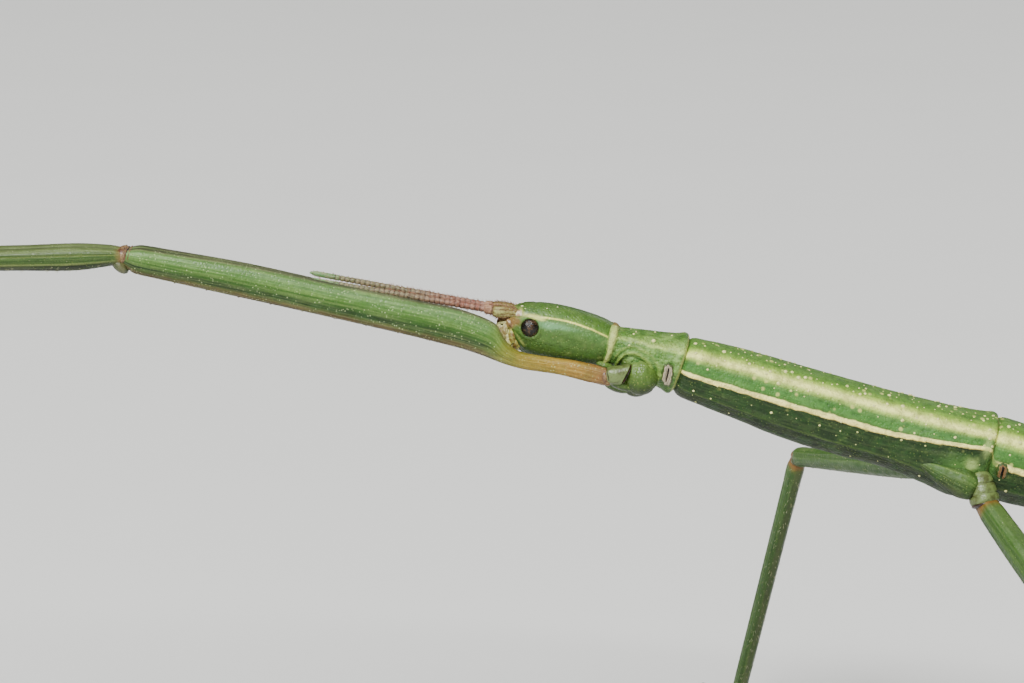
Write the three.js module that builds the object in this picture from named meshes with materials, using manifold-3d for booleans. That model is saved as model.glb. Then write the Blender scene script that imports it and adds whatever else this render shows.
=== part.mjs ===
// A green stick insect, a female of the short-horned kind, standing on its middle and hind feet
// with both fore legs stretched out in front of its head.
//
// Millimetres. The head points to -X and the tail to +X, +Y is the animal's right, +Z is up, and the
// soles lie on z = 0. The origin is the middle of the model's box, on the floor.
// The trunk is a row of plates on one centreline, parted by thin cuts; every limb is coxa, femur,
// tibia and tarsus.
import * as THREE from "three";
import { mergeVertices } from "three/addons/utils/BufferGeometryUtils.js";
import Module from "manifold-3d";

// ---------------------------------------------------------------- driving dimensions

const CUT = 0.08; // width of the cut between two neighbouring plates or joints
const HEAD_HEIGHT = 29.3; // the middle of the face above the floor
const ANKLE_HEIGHT = 0.45; // the end of a standing tibia above the floor

// The trunk's plates from the face to the tail: length, and slope of the centreline at both ends.
const PLATES = [
  ["head", 5.95, 10.8, 10.8],
  ["prothorax", 4.15, 17.3, 18.3],
  ["mesothorax", 17.4, 17.1, 16.1],
  ["metathorax", 13.0, 16.1, 15.4],
  ["median_segment", 2.2, 15.4, 15.2],
  ["abdomen_2", 6.6, 15.2, 14.8],
  ["abdomen_3", 7.6, 14.8, 13.9],
  ["abdomen_4", 8.0, 13.9, 12.6],
  ["abdomen_5", 7.8, 12.6, 11.2],
  ["abdomen_6", 6.8, 11.2, 9.8],
  ["abdomen_7", 4.8, 9.8, 8.8],
  ["abdomen_8", 3.3, 8.8, 8.2],
  ["abdomen_9", 2.1, 8.2, 8.0],
  ["abdomen_10", 1.9, 8.0, 8.0],
];

// Trunk outlines: distance along the plate, half width, height over and depth under the centreline.
const HEAD_OUTLINE = [
  [0.0, 0.46, 0.74, 0.3],
  [0.3, 0.78, 1.1, 0.5],
  [0.9, 0.96, 1.3, 0.8],
  [1.4, 1.04, 1.4, 1.2],
  [2.0, 1.08, 1.48, 1.42],
  [2.8, 1.13, 1.53, 1.47],
  [3.8, 1.16, 1.5, 1.48],
  [4.7, 1.12, 1.4, 1.4],
  [5.4, 1.0, 1.24, 1.16],
  [5.95, 0.78, 0.98, 0.82],
];
const PROTHORAX_OUTLINE = [
  [0.0, 1.12, 1.14, 1.16],
  [0.3, 1.14, 1.16, 1.18],
  [0.6, 1.12, 1.02, 1.16],
  [1.6, 1.3, 1.2, 1.3],
  [2.9, 1.42, 1.46, 1.46],
  [3.85, 1.52, 1.68, 1.58],
  [4.15, 1.52, 1.68, 1.58],
];
const MESOTHORAX_OUTLINE = [
  [0.0, 1.4, 1.5, 1.5],
  [0.5, 1.52, 1.64, 1.66],
  [3.3, 1.62, 1.82, 1.92],
  [6.5, 1.72, 1.84, 2.22],
  [9.5, 1.78, 1.87, 2.26],
  [12.3, 1.88, 1.93, 2.2],
  [14.4, 2.1, 2.02, 2.42],
  [15.8, 2.3, 2.12, 2.72],
  [16.8, 2.24, 2.24, 2.56],
  [17.4, 2.06, 2.26, 2.3],
];
const METATHORAX_OUTLINE = [
  [0.0, 1.98, 2.14, 2.2],
  [0.5, 2.0, 2.2, 2.26],
  [3.5, 1.82, 2.06, 2.2],
  [7.0, 1.84, 2.0, 2.22],
  [9.6, 2.0, 2.02, 2.36],
  [11.4, 2.26, 2.08, 2.66],
  [12.4, 2.26, 2.1, 2.6],
  [13.0, 2.08, 2.1, 2.24],
];
// One outline for the median segment and the whole abdomen, measured from the metathorax.
const ABDOMEN_OUTLINE = [
  [0.0, 2.0, 2.04, 2.1],
  [2.2, 1.94, 2.0, 1.94],
  [8.8, 1.84, 1.9, 1.82],
  [16.4, 1.76, 1.84, 1.76],
  [24.4, 1.66, 1.74, 1.66],
  [32.2, 1.5, 1.6, 1.5],
  [39.0, 1.34, 1.42, 1.34],
  [43.8, 1.2, 1.28, 1.22],
  [47.1, 1.08, 1.14, 1.08],
  [49.2, 0.96, 1.0, 0.8],
  [50.6, 0.8, 0.8, 0.5],
  [51.1, 0.5, 0.5, 0.3],
];
const HIND_RIM = 0.05; // how far a plate's hind rim stands out over the next plate
const SIDE_RIDGE = { angle: 97, width: 11, height: 0.1 }; // the keel along each side of the thorax
const TRUNK_SIDES = 18;
const HEAD_SIDES = 16;

const EYE = { along: 1.5, out: 0.96, up: 0.19, radius: 0.5, bulge: 0.36 };

const ANTENNA = {
  base: { along: 0.34, out: 0.48, up: 0.72 },
  length: 10.9,
  scapeSlope: 7.5, // degrees above the level
  slope: { left: 10.6, right: 10.9 },
  converge: 1.1, // degrees towards the midline
  radius: 0.25,
  scape: { length: 1.25, radius: 0.36 },
  pedicel: { length: 0.4, radius: 0.29 },
  lastSegment: 1.5,
  segments: 8,
};

// The limbs. Lengths run from the trochanter to the knee, to the ankle and to the claws.
const FORE = { femur: 26.6, tibia: 25.5, tarsus: 7.2 };
const MIDDLE = { femur: 17.5, tibia: 18.5, tarsus: 5.0 };
const HIND = { femur: 20.0, tibia: 21.0, tarsus: 5.4 };

// Femur and tibia outlines: distance from the base, half width, height over and depth under the axis.
const FORE_FEMUR_OUTLINE = [
  [0.0, 0.34, 0.36, 0.4],
  [1.7, 0.34, 0.28, 0.45],
  [3.4, 0.34, 0.12, 0.6],
  [4.6, 0.38, 0.12, 0.68],
  [5.4, 0.46, 0.4, 0.68],
  [6.1, 0.56, 1.2, 0.61],
  [6.9, 0.6, 1.5, 0.52],
  [8.0, 0.61, 1.58, 0.4],
  [10.5, 0.61, 1.46, 0.34],
  [15.0, 0.6, 1.32, 0.42],
  [20.0, 0.57, 1.16, 0.58],
  [24.6, 0.53, 0.86, 0.7],
  [26.0, 0.54, 0.7, 0.74],
  [26.6, 0.46, 0.5, 0.6],
];
const STANDING_FEMUR_OUTLINE = [
  [0.0, 0.5, 0.52, 0.52],
  [0.06, 0.58, 0.62, 0.6],
  [0.25, 0.64, 0.8, 0.74],
  [0.6, 0.6, 0.7, 0.66],
  [0.93, 0.5, 0.56, 0.54],
  [0.98, 0.52, 0.58, 0.56],
  [1.0, 0.42, 0.44, 0.44],
];
const FORE_TIBIA_OUTLINE = [
  [0.0, 0.4, 0.42, 0.42],
  [0.03, 0.48, 0.56, 0.56],
  [0.1, 0.5, 0.68, 0.68],
  [0.22, 0.48, 0.6, 0.6],
  [0.5, 0.46, 0.54, 0.48],
  [0.96, 0.4, 0.44, 0.4],
  [1.0, 0.34, 0.36, 0.32],
];
const TIBIA_OUTLINE = [
  [0.0, 0.36, 0.38, 0.38],
  [0.04, 0.44, 0.5, 0.48],
  [0.12, 0.42, 0.48, 0.44],
  [0.6, 0.38, 0.42, 0.4],
  [0.96, 0.36, 0.38, 0.36],
  [1.0, 0.3, 0.32, 0.3],
];
// The tarsus and its three pads: share of its length, half width, height over, depth under its axis.
const TARSUS_OUTLINE = [
  [0.0, 0.26, 0.26, 0.26],
  [0.3, 0.27, 0.26, 0.36],
  [0.42, 0.27, 0.26, 0.36],
  [0.46, 0.21, 0.2, 0.2],
  [0.58, 0.28, 0.26, 0.36],
  [0.68, 0.28, 0.26, 0.36],
  [0.72, 0.2, 0.19, 0.2],
  [0.86, 0.26, 0.25, 0.36],
  [0.96, 0.26, 0.25, 0.36],
  [1.0, 0.18, 0.18, 0.22],
];
const TARSUS_AXIS = 0.27; // height of a standing tarsus's axis over the floor
const CLAW = { length: 0.85, radius: 0.17, spread: 24, droop: 20 };

// How each limb is held. swing is turned from straight out to the side towards the tail, lift from the
// level upwards. A standing tibia's lift follows from the floor.
const FORE_COXA = { along: 2.15, out: 1.06, up: -1.2, size: [1.2, 0.78, 0.9] };
const FORE_TROCHANTER = { along: 0.29, out: 1.34, up: -1.62, radius: 0.46 };
const FORE_CARRIAGE = {
  left: { pitch: 14.3, droop: 0.8, drop: 0, tibiaOut: 0.05 },
  right: { pitch: 14.9, droop: 1.4, drop: 0.6, tibiaOut: 0.05 },
};
const FORE_SHAFT_OUT = 1.2; // the femur's distance from the midline in front of the head
const STANDING_COXA = { out: 1.3, up: -2.0, radius: 0.78 };
const STANCE = [
  {
    name: "left_middle",
    sign: -1,
    plate: "mesothorax",
    along: 16.25,
    limb: MIDDLE,
    hip: { along: 1.45, out: 2.35, up: -2.15 },
    thigh: { swing: 29, lift: -31.5 },
    shin: { swing: 4 },
  },
  {
    name: "right_middle",
    sign: 1,
    plate: "mesothorax",
    along: 16.25,
    limb: MIDDLE,
    hip: { along: -0.3, out: 2.75, up: -1.9 },
    thigh: { swing: -24.4, lift: -10.3 },
    shin: { swing: -25 },
  },
  {
    name: "left_hind",
    sign: -1,
    plate: "metathorax",
    along: 11.85,
    limb: HIND,
    hip: { along: 0.9, out: 2.6, up: -2.2 },
    thigh: { swing: 46, lift: 3 },
    shin: { swing: 50 },
  },
  {
    name: "right_hind",
    sign: 1,
    plate: "metathorax",
    along: 11.85,
    limb: HIND,
    hip: { along: 0.9, out: 2.6, up: -2.2 },
    thigh: { swing: 34, lift: 6 },
    shin: { swing: 30 },
  },
];

// ---------------------------------------------------------------- materials

const GREEN = new THREE.MeshStandardMaterial({ color: 0x6d9a4f, roughness: 0.5 });
const PALE_GREEN = new THREE.MeshStandardMaterial({ color: 0x8fb47c, roughness: 0.55 });
const OCHRE = new THREE.MeshStandardMaterial({ color: 0xb49a5e, roughness: 0.55 });
const ROSE = new THREE.MeshStandardMaterial({ color: 0xb58a7d, roughness: 0.6 });
const EYE_BLACK = new THREE.MeshStandardMaterial({ color: 0x1c1a1b, roughness: 0.25 });

// ---------------------------------------------------------------- small tools

const wasm = await Module();
wasm.setup();
const insect = new THREE.Group();
const DEG = Math.PI / 180;
const UP = new THREE.Vector3(0, 0, 1);

/** The values of a table at a place: a cubic through its rows, level past its ends. */
function outlineAt(rows, at) {
  const last = rows.length - 1;
  if (at <= rows[0][0]) return rows[0].slice(1);
  if (at >= rows[last][0]) return rows[last].slice(1);
  const i = rows.findIndex((row) => row[0] > at) - 1;
  const [a, b] = [rows[i], rows[i + 1]];
  const span = b[0] - a[0];
  const t = (at - a[0]) / span;
  const slope = (k, column) => {
    const [before, after] = [rows[Math.max(k - 1, 0)], rows[Math.min(k + 1, last)]];
    return ((after[column] - before[column]) / (after[0] - before[0])) * span;
  };
  return a.slice(1).map((value, k) => {
    const column = k + 1;
    const [p, q] = [value, b[column]];
    const [m, n] = [slope(i, column), slope(i + 1, column)];
    const rise = t * t * (3 - 2 * t);
    return p + (q - p) * rise + m * t * (1 - t) * (1 - t) - n * t * t * (1 - t);
  });
}

/** count + 1 places from a to b, with more of them near both ends. */
function stations(a, b, count) {
  const places = [];
  for (let i = 0; i <= count; i++) {
    const t = i / count;
    const eased = (1 - Math.cos(Math.PI * t)) / 2;
    places.push(a + (b - a) * (0.5 * t + 0.5 * eased));
  }
  return places;
}

/** A cylinder whose rings are laid at places; place(at, angle, share) puts each of its points. */
function loft(places, sides, place) {
  const rings = places.length - 1;
  const geometry = new THREE.CylinderGeometry(1, 1, 1, sides, rings);
  const points = geometry.getAttribute("position");
  for (let i = 0; i < points.count; i++) {
    const ring = Math.round((0.5 - points.getY(i)) * rings);
    const share = Math.hypot(points.getX(i), points.getZ(i));
    const angle = share > 0 ? Math.atan2(points.getX(i), points.getZ(i)) : 0;
    const at = place(places[ring], angle, share);
    points.setXYZ(i, at.x, at.y, at.z);
  }
  return geometry;
}

/** The same solid as a closed manifold, so that it can be joined to others or cut. */
function solid(geometry) {
  const bare = geometry.clone();
  bare.deleteAttribute("normal");
  bare.deleteAttribute("uv");
  const merged = mergeVertices(bare, 1e-4);
  return new wasm.Manifold(
    new wasm.Mesh({
      numProp: 3,
      vertProperties: new Float32Array(merged.getAttribute("position").array),
      triVerts: new Uint32Array(merged.index.array),
    }),
  );
}

/** A manifold as a geometry again. */
function geometryOf(manifold) {
  const mesh = manifold.getMesh();
  return new THREE.BufferGeometry()
    .setAttribute("position", new THREE.BufferAttribute(mesh.vertProperties, 3))
    .setIndex(new THREE.BufferAttribute(mesh.triVerts, 1));
}

/** Adds one named piece to the insect. */
function add(name, geometry, material) {
  const mesh = new THREE.Mesh(geometry, material);
  mesh.name = name;
  insect.add(mesh);
}

/** A point of a rounded section, as [out, up], at an angle from the top; 2 is an ellipse. */
function roundSection([half, over, under], angle, squareness) {
  const power = 2 / squareness;
  const [s, c] = [Math.sin(angle), Math.cos(angle)];
  const out = half * Math.sign(s) * Math.abs(s) ** power;
  const up = (c > 0 ? over : under) * Math.sign(c) * Math.abs(c) ** power;
  return [out, up];
}

// ---------------------------------------------------------------- trunk

/** The trunk's centreline at a distance behind the face: point, direction to the tail, and up. */
function trunkAt(distance) {
  const point = new THREE.Vector3(0, 0, HEAD_HEIGHT);
  let left = distance;
  for (const [index, [, length, first, last]] of PLATES.entries()) {
    const within = index === PLATES.length - 1 ? left : Math.min(left, length);
    const bend = ((last - first) * DEG) / length;
    const [from, to] = [first * DEG, first * DEG + bend * within];
    if (Math.abs(bend) < 1e-9) {
      point.x += within * Math.cos(from);
      point.z -= within * Math.sin(from);
    } else {
      point.x += (Math.sin(to) - Math.sin(from)) / bend;
      point.z += (Math.cos(to) - Math.cos(from)) / bend;
    }
    left -= within;
    if (left <= 1e-9) {
      const back = new THREE.Vector3(Math.cos(to), 0, -Math.sin(to));
      return { point, back, up: new THREE.Vector3(Math.sin(to), 0, Math.cos(to)) };
    }
  }
}

/** Where a plate begins on the centreline. */
function plateStart(name) {
  let start = 0;
  for (const [plate, length] of PLATES) {
    if (plate === name) return start;
    start += length;
  }
}

/** A point beside the centreline of a plate: along it, out to +Y and up. */
function onPlate(name, along, out, up) {
  const frame = trunkAt(plateStart(name) + along);
  return frame.point.addScaledVector(frame.up, up).add(new THREE.Vector3(0, out, 0));
}

/** One trunk plate, from its own outline. grow swells it, for cutting its neighbours. */
function plate(name, outline, { rings, sides, ridge = 0, squareness = 2.3, offset = 0, grow = 0 }) {
  const length = PLATES.find(([plateName]) => plateName === name)[1];
  const start = plateStart(name);
  const margin = grow > 0 ? 0 : CUT / 2;
  return loft(stations(margin, length - margin, rings), sides, (along, angle, share) => {
    const frame = trunkAt(start + along);
    const rim = 1 + HIND_RIM * (1 - Math.min(1, (length - along) / 0.6)) * (offset > 0 ? 1 : 0);
    const values = outlineAt(outline, along + offset).map((value) => value * rim + grow);
    let [out, up] = roundSection(values, angle, squareness);
    const fromKeel = (Math.abs(angle) / DEG - SIDE_RIDGE.angle) / SIDE_RIDGE.width;
    out += Math.sign(out) * ridge * Math.exp(-fromKeel * fromKeel);
    return frame.point
      .addScaledVector(frame.up, up * share)
      .add(new THREE.Vector3(0, out * share, 0));
  });
}

const headShape = { rings: 12, sides: HEAD_SIDES, squareness: 2.15 };
const swollenHead = solid(plate("head", HEAD_OUTLINE, { ...headShape, grow: CUT }));
const THORAX = {
  prothorax: [PROTHORAX_OUTLINE, { rings: 8, sides: TRUNK_SIDES, ridge: 0.03 }],
  mesothorax: [MESOTHORAX_OUTLINE, { rings: 13, sides: TRUNK_SIDES, ridge: SIDE_RIDGE.height }],
  metathorax: [METATHORAX_OUTLINE, { rings: 10, sides: TRUNK_SIDES, ridge: SIDE_RIDGE.height }],
};
const swollen = {};
for (const [name, [outline, options]] of Object.entries(THORAX)) {
  add(name, geometryOf(solid(plate(name, outline, options)).subtract(swollenHead)), GREEN);
  swollen[name] = solid(plate(name, outline, { ...options, grow: CUT }));
}

const abdomenStart = plateStart("median_segment");
for (const [name, length] of PLATES.slice(4)) {
  const options = {
    rings: Math.max(3, Math.round(length * 0.8)),
    sides: 12,
    offset: plateStart(name) - abdomenStart + 1e-9,
  };
  add(name, plate(name, ABDOMEN_OUTLINE, options), GREEN);
}

// ---------------------------------------------------------------- tail: operculum and cerci

/** A limb-like rod between two points, from an outline over its length. */
function rod(start, end, outline, sides, options = {}) {
  const { scale = 1, rings = 6, up = UP, squareness = 2, grow = 0 } = options;
  const along = end.clone().sub(start).normalize();
  const from = start.clone().addScaledVector(along, -grow);
  const axis = end.clone().addScaledVector(along, grow).sub(from);
  const side = along.clone().cross(up).normalize();
  const over = side.clone().cross(along).normalize();
  const places = Array.isArray(rings) ? rings : stations(0, 1, rings);
  return loft(places, sides, (share, angle, radius) => {
    const values = outlineAt(outline, share * scale).map((value) => value + grow);
    const [out, high] = roundSection(values, -angle, squareness);
    return from
      .clone()
      .addScaledVector(axis, share)
      .addScaledVector(side, out * radius)
      .addScaledVector(over, high * radius);
  });
}

const OPERCULUM_OUTLINE = [
  [0.0, 0.5, 0.25, 0.25],
  [0.2, 0.74, 0.3, 0.32],
  [0.7, 0.62, 0.3, 0.3],
  [1.0, 0.3, 0.25, 0.22],
];
const operculum = solid(
  rod(onPlate("abdomen_8", 0.4, 0, -1.34), onPlate("abdomen_10", 1.5, 0, -0.92), OPERCULUM_OUTLINE, 8),
);
const tailEnd = ["abdomen_8", "abdomen_9", "abdomen_10"].map((name) =>
  solid(
    plate(name, ABDOMEN_OUTLINE, {
      rings: 3,
      sides: 12,
      offset: plateStart(name) - abdomenStart + 1e-9,
      grow: CUT,
    }),
  ),
);
/** A piece less everything it would share with the cutters. */
function less(piece, cutters) {
  return cutters.reduce((rest, cutter) => rest.subtract(cutter), piece);
}
add("operculum", geometryOf(less(operculum, tailEnd)), GREEN);

const CERCUS_OUTLINE = [
  [0.0, 0.24, 0.24, 0.24],
  [0.7, 0.22, 0.22, 0.22],
  [1.0, 0.14, 0.14, 0.14],
];
for (const [side, sign] of [["left", -1], ["right", 1]]) {
  const root = onPlate("abdomen_10", 1.6, sign * 0.34, 0.0);
  const tip = onPlate("abdomen_10", 2.9, sign * 0.46, -0.12);
  const cercus = solid(rod(root, tip, CERCUS_OUTLINE, 6, { rings: 3 }));
  add(side + "_cercus", geometryOf(less(cercus, tailEnd)), PALE_GREEN);
}

// ---------------------------------------------------------------- head

/** A ball stretched to three half sizes, about a point. */
function ball(centre, [x, y, z], detail, tilt = 0) {
  return new THREE.SphereGeometry(1, detail, Math.ceil(detail * 0.6))
    .scale(x, y, z)
    .rotateY(tilt)
    .translate(centre.x, centre.y, centre.z);
}

const headTilt = PLATES[0][2] * DEG;

let head = solid(plate("head", HEAD_OUTLINE, headShape));
for (const [side, sign] of [["left", -1], ["right", 1]]) {
  const centre = onPlate("head", EYE.along, sign * EYE.out, EYE.up);
  const size = [EYE.radius, EYE.bulge, EYE.radius];
  head = head.subtract(solid(ball(centre, size.map((value) => value + CUT / 2), 12, headTilt)));
  add(side + "_eye", ball(centre, size, 12, headTilt), EYE_BLACK);
}
add("head", geometryOf(head), GREEN);

// Clypeus, jaws and lower lip, in front of and under the face.
const MOUTH = [
  [0.06, 0, -0.42, [0.5, 0.5, 0.56]],
  [0.5, 0.4, -0.95, [0.56, 0.38, 0.44]],
  [0.5, -0.4, -0.95, [0.56, 0.38, 0.44]],
  [0.95, 0, -1.12, [0.55, 0.5, 0.4]],
];
function mouth(grow) {
  const pieces = MOUTH.map(([along, out, up, size]) => {
    const centre = onPlate("head", along, out, up);
    return solid(ball(centre, size.map((value) => value + grow), 7, headTilt));
  });
  return pieces.reduce((joined, piece) => joined.add(piece)).subtract(swollenHead);
}
add("mouthparts", geometryOf(mouth(0)), OCHRE);
const swollenMouth = mouth(CUT);

// Antennae: a broad scape and a short pedicel, then a ringed flagellum with a long last segment.
function ringed(length, pitch, radius) {
  const rows = [];
  for (let at = 0; at < length - pitch / 2; at += pitch) {
    rows.push([at + 0.06, radius * 0.94], [Math.min(at + pitch, length), radius]);
  }
  return rows;
}
const round = ([at, radius]) => [at, radius, radius, radius];
const { scape, pedicel } = ANTENNA;
const flagellumLength = ANTENNA.length - scape.length - pedicel.length;
const ringedLength = flagellumLength - ANTENNA.lastSegment;
const BASE_ROWS = [
  [0, scape.radius * 0.7],
  [0.3, scape.radius],
  [scape.length, scape.radius * 0.9],
  [scape.length + 0.06, pedicel.radius],
  [scape.length + pedicel.length, pedicel.radius],
].map(round);
const FLAGELLUM_ROWS = [
  ...ringed(ringedLength, ringedLength / ANTENNA.segments, ANTENNA.radius),
  [ringedLength + 0.08, ANTENNA.radius * 0.9],
  [flagellumLength - 0.7, ANTENNA.radius * 1.04],
  [flagellumLength - 0.2, ANTENNA.radius * 0.9],
  [flagellumLength, ANTENNA.radius * 0.4],
].map(round);
for (const [side, sign] of [["left", -1], ["right", 1]]) {
  const { base, slope, scapeSlope, converge } = ANTENNA;
  const root = onPlate("head", base.along, sign * base.out, base.up);
  const towards = (degrees) =>
    new THREE.Vector3(
      -Math.cos(degrees * DEG),
      -sign * Math.sin(converge * DEG),
      Math.sin(degrees * DEG),
    );
  const joint = root.clone().addScaledVector(towards(scapeSlope), scape.length + pedicel.length);
  const tip = joint.clone().addScaledVector(towards(slope[side]), flagellumLength);
  const stretch = (from, to, rows) => {
    const scale = rows[rows.length - 1][0];
    const first = rows[0][0];
    const rings = [...(first > 0 ? [0] : []), ...rows.map(([at]) => at / scale)];
    return solid(rod(from, to, rows, 6, { scale, rings }));
  };
  const feeler = stretch(root, joint, BASE_ROWS).add(stretch(joint, tip, FLAGELLUM_ROWS));
  add(side + "_antenna", geometryOf(feeler.subtract(swollenHead)), ROSE);
}

// ---------------------------------------------------------------- limbs

/** A direction from a limb's swing and lift, in degrees, on the side of that sign. */
function heading(sign, swing, lift) {
  return new THREE.Vector3(
    Math.sin(swing * DEG) * Math.cos(lift * DEG),
    sign * Math.cos(swing * DEG) * Math.cos(lift * DEG),
    Math.sin(lift * DEG),
  );
}

/** A femur or tibia: a four-edged rod between two joints. */
function segment(from, to, outline, { scale = 1, rings = 8, grow = 0 } = {}) {
  return rod(from, to, outline, 8, { scale, rings, squareness: 3.4, grow });
}

/** Presses whatever reaches below the floor of a standing foot up to z = 0. */
function flatSoled(geometry, standing) {
  const points = geometry.getAttribute("position");
  for (let i = 0; standing && i < points.count; i++) points.setZ(i, Math.max(points.getZ(i), 0));
  return geometry;
}

/** The tarsus from the ankle: padded joints and two claws. A standing one lies flat on z = 0. */
function tarsus(ankle, direction, length, standing) {
  const heel = ankle.clone();
  if (standing) heel.z = TARSUS_AXIS;
  const tip = heel.clone().addScaledVector(direction, length - CLAW.length * 0.7);
  const rings = TARSUS_OUTLINE.map(([share]) => share);
  const joints = rod(heel, tip, TARSUS_OUTLINE, 8, { rings, squareness: 3.4 });
  let foot = solid(flatSoled(joints, standing));
  const thickness = [
    [0, CLAW.radius, CLAW.radius, CLAW.radius],
    [1, CLAW.radius * 0.6, CLAW.radius * 0.6, CLAW.radius * 0.6],
  ];
  for (const turn of [-1, 1]) {
    const claw = direction.clone().applyAxisAngle(UP, turn * CLAW.spread * DEG);
    claw.z -= Math.sin(CLAW.droop * DEG) / 2;
    const from = tip.clone().addScaledVector(direction, -0.15);
    const end = from.clone().addScaledVector(claw, CLAW.length);
    foot = foot.add(solid(flatSoled(rod(from, end, thickness, 5, { rings: 1 }), standing)));
  }
  return foot;
}

/** Adds a limb's pieces in their order, each cut clear of the one before it. */
function addLimb(pieces) {
  let before = null;
  for (const { name, make, material } of pieces) {
    const piece = before ? make(0).subtract(before(CUT)) : make(0);
    add(name, geometryOf(piece), material);
    before = make;
  }
}

// Fore legs: a round coxa, a short trochanter, and a femur whose thin base passes under the head.
for (const [side, sign] of [["left", -1], ["right", 1]]) {
  const name = side + "_fore_";
  const carriage = FORE_CARRIAGE[side];
  const { along, out, up, size } = FORE_COXA;
  const trochanter = FORE_TROCHANTER;
  const coxaCentre = onPlate("prothorax", along, sign * out, up - carriage.drop);
  const hip = onPlate("prothorax", trochanter.along, sign * trochanter.out, trochanter.up - carriage.drop);
  const neck = [[0, trochanter.radius, trochanter.radius, trochanter.radius]];
  const towardsCoxa = coxaCentre.clone().lerp(hip, 0.4);
  const coxa = (grow) =>
    solid(ball(coxaCentre, size.map((value) => value + grow), 10))
      .add(solid(rod(towardsCoxa, hip, neck, 8, { rings: 2, grow })))
      .subtract(swollen.prothorax);

  const pitch = carriage.pitch * DEG;
  const aim = new THREE.Vector3(-Math.cos(pitch), 0, Math.sin(pitch));
  const knee = hip.clone().addScaledVector(aim, FORE.femur);
  const rings = FORE_FEMUR_OUTLINE.map(([at]) => at / FORE.femur);
  const femur = (grow) => {
    const shape = segment(hip, knee, FORE_FEMUR_OUTLINE, { scale: FORE.femur, rings, grow });
    const points = shape.getAttribute("position");
    // The shaft leans in towards the midline in front of the head.
    for (let i = 0; i < points.count; i++) {
      const eased = THREE.MathUtils.smoothstep(hip.x - points.getX(i), 3.2, 8.4);
      points.setY(i, points.getY(i) - (hip.y - sign * FORE_SHAFT_OUT) * eased);
    }
    return solid(shape).subtract(swollenHead).subtract(swollenMouth);
  };

  const bent = new THREE.Vector3(knee.x, sign * FORE_SHAFT_OUT, knee.z);
  const droop = carriage.droop * DEG;
  const way = new THREE.Vector3(-Math.cos(droop), sign * carriage.tibiaOut, -Math.sin(droop)).normalize();
  const ankle = bent.clone().addScaledVector(way, FORE.tibia);
  const tibia = (grow) => solid(segment(bent, ankle, FORE_TIBIA_OUTLINE, { rings: 6, grow }));
  addLimb([
    { name: name + "coxa", make: coxa, material: GREEN },
    { name: name + "femur", make: femur, material: PALE_GREEN },
    { name: name + "tibia", make: tibia, material: PALE_GREEN },
    { name: name + "tarsus", make: () => tarsus(ankle, way, FORE.tarsus, false), material: PALE_GREEN },
  ]);
}

// Middle and hind legs, down to the floor.
for (const { name, sign, plate: bearer, along, limb, hip: reach, thigh, shin } of STANCE) {
  const { out, up, radius } = STANDING_COXA;
  const start = onPlate(bearer, along, sign * out, up);
  const hip = onPlate(bearer, along + reach.along, sign * reach.out, reach.up);
  const socket = [
    [0, radius, radius, radius],
    [0.6, radius, radius, radius],
    [1, radius * 0.86, radius * 0.86, radius * 0.86],
  ];
  const knee = hip.clone().addScaledVector(heading(sign, thigh.swing, thigh.lift), limb.femur);
  const shinLift = -Math.asin((knee.z - ANKLE_HEIGHT) / limb.tibia) / DEG;
  const ankle = knee.clone().addScaledVector(heading(sign, shin.swing, shinLift), limb.tibia);
  const level = heading(sign, shin.swing, 0);
  const trunk = Object.values(swollen);
  const coxa = (grow) => less(solid(rod(start, hip, socket, 10, { rings: 3, grow })), trunk);
  addLimb([
    { name: name + "_coxa", make: coxa, material: GREEN },
    {
      name: name + "_femur",
      make: (grow) => solid(segment(hip, knee, STANDING_FEMUR_OUTLINE, { rings: 7, grow })),
      material: PALE_GREEN,
    },
    {
      name: name + "_tibia",
      make: (grow) => solid(segment(knee, ankle, TIBIA_OUTLINE, { rings: 6, grow })),
      material: PALE_GREEN,
    },
    { name: name + "_tarsus", make: () => tarsus(ankle, level, limb.tarsus, true), material: PALE_GREEN },
  ]);
}

// ---------------------------------------------------------------- origin

const box = new THREE.Box3().setFromObject(insect);
const middle = box.getCenter(new THREE.Vector3());
insect.position.set(-middle.x, -middle.y, -box.min.z);

export default insect;
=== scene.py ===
"""Green stick insect, a female of the short-horned kind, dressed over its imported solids.

Shapes are laid out in millimetres along the animal's own centreline and limbs, with x to the tail,
y to the animal's right and z up, and are put into the row's frame, in metres, as each piece is
finished.
"""

import logging
import math
import random
from dataclasses import dataclass, field, replace
from enum import Enum
from typing import Callable, Iterable, Sequence

import bmesh
import bpy
from mathutils import Matrix, Vector, noise


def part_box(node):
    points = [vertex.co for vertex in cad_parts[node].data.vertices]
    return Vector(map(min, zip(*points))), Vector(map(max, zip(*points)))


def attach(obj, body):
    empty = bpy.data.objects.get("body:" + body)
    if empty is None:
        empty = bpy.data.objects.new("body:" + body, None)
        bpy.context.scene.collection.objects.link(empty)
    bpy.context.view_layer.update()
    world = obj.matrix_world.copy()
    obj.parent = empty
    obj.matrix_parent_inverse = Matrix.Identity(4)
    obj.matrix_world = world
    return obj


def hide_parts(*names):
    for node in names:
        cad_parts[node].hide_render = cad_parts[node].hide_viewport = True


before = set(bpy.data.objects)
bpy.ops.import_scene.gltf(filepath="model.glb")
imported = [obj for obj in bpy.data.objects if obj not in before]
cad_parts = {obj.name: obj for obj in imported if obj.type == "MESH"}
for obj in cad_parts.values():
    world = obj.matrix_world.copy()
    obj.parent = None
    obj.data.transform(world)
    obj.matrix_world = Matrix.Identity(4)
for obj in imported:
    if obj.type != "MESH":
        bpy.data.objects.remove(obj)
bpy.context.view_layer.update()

LOG = logging.getLogger("stick_insect")
Row = tuple[float, ...]
Rows = tuple[Row, ...]
Pair = tuple[float, float]
Triple = tuple[float, float, float]
Colour = tuple[int, int, int]
Stop = tuple[float, Colour]
Socket = bpy.types.NodeSocket
Material = bpy.types.Material
MM = 0.001


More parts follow.
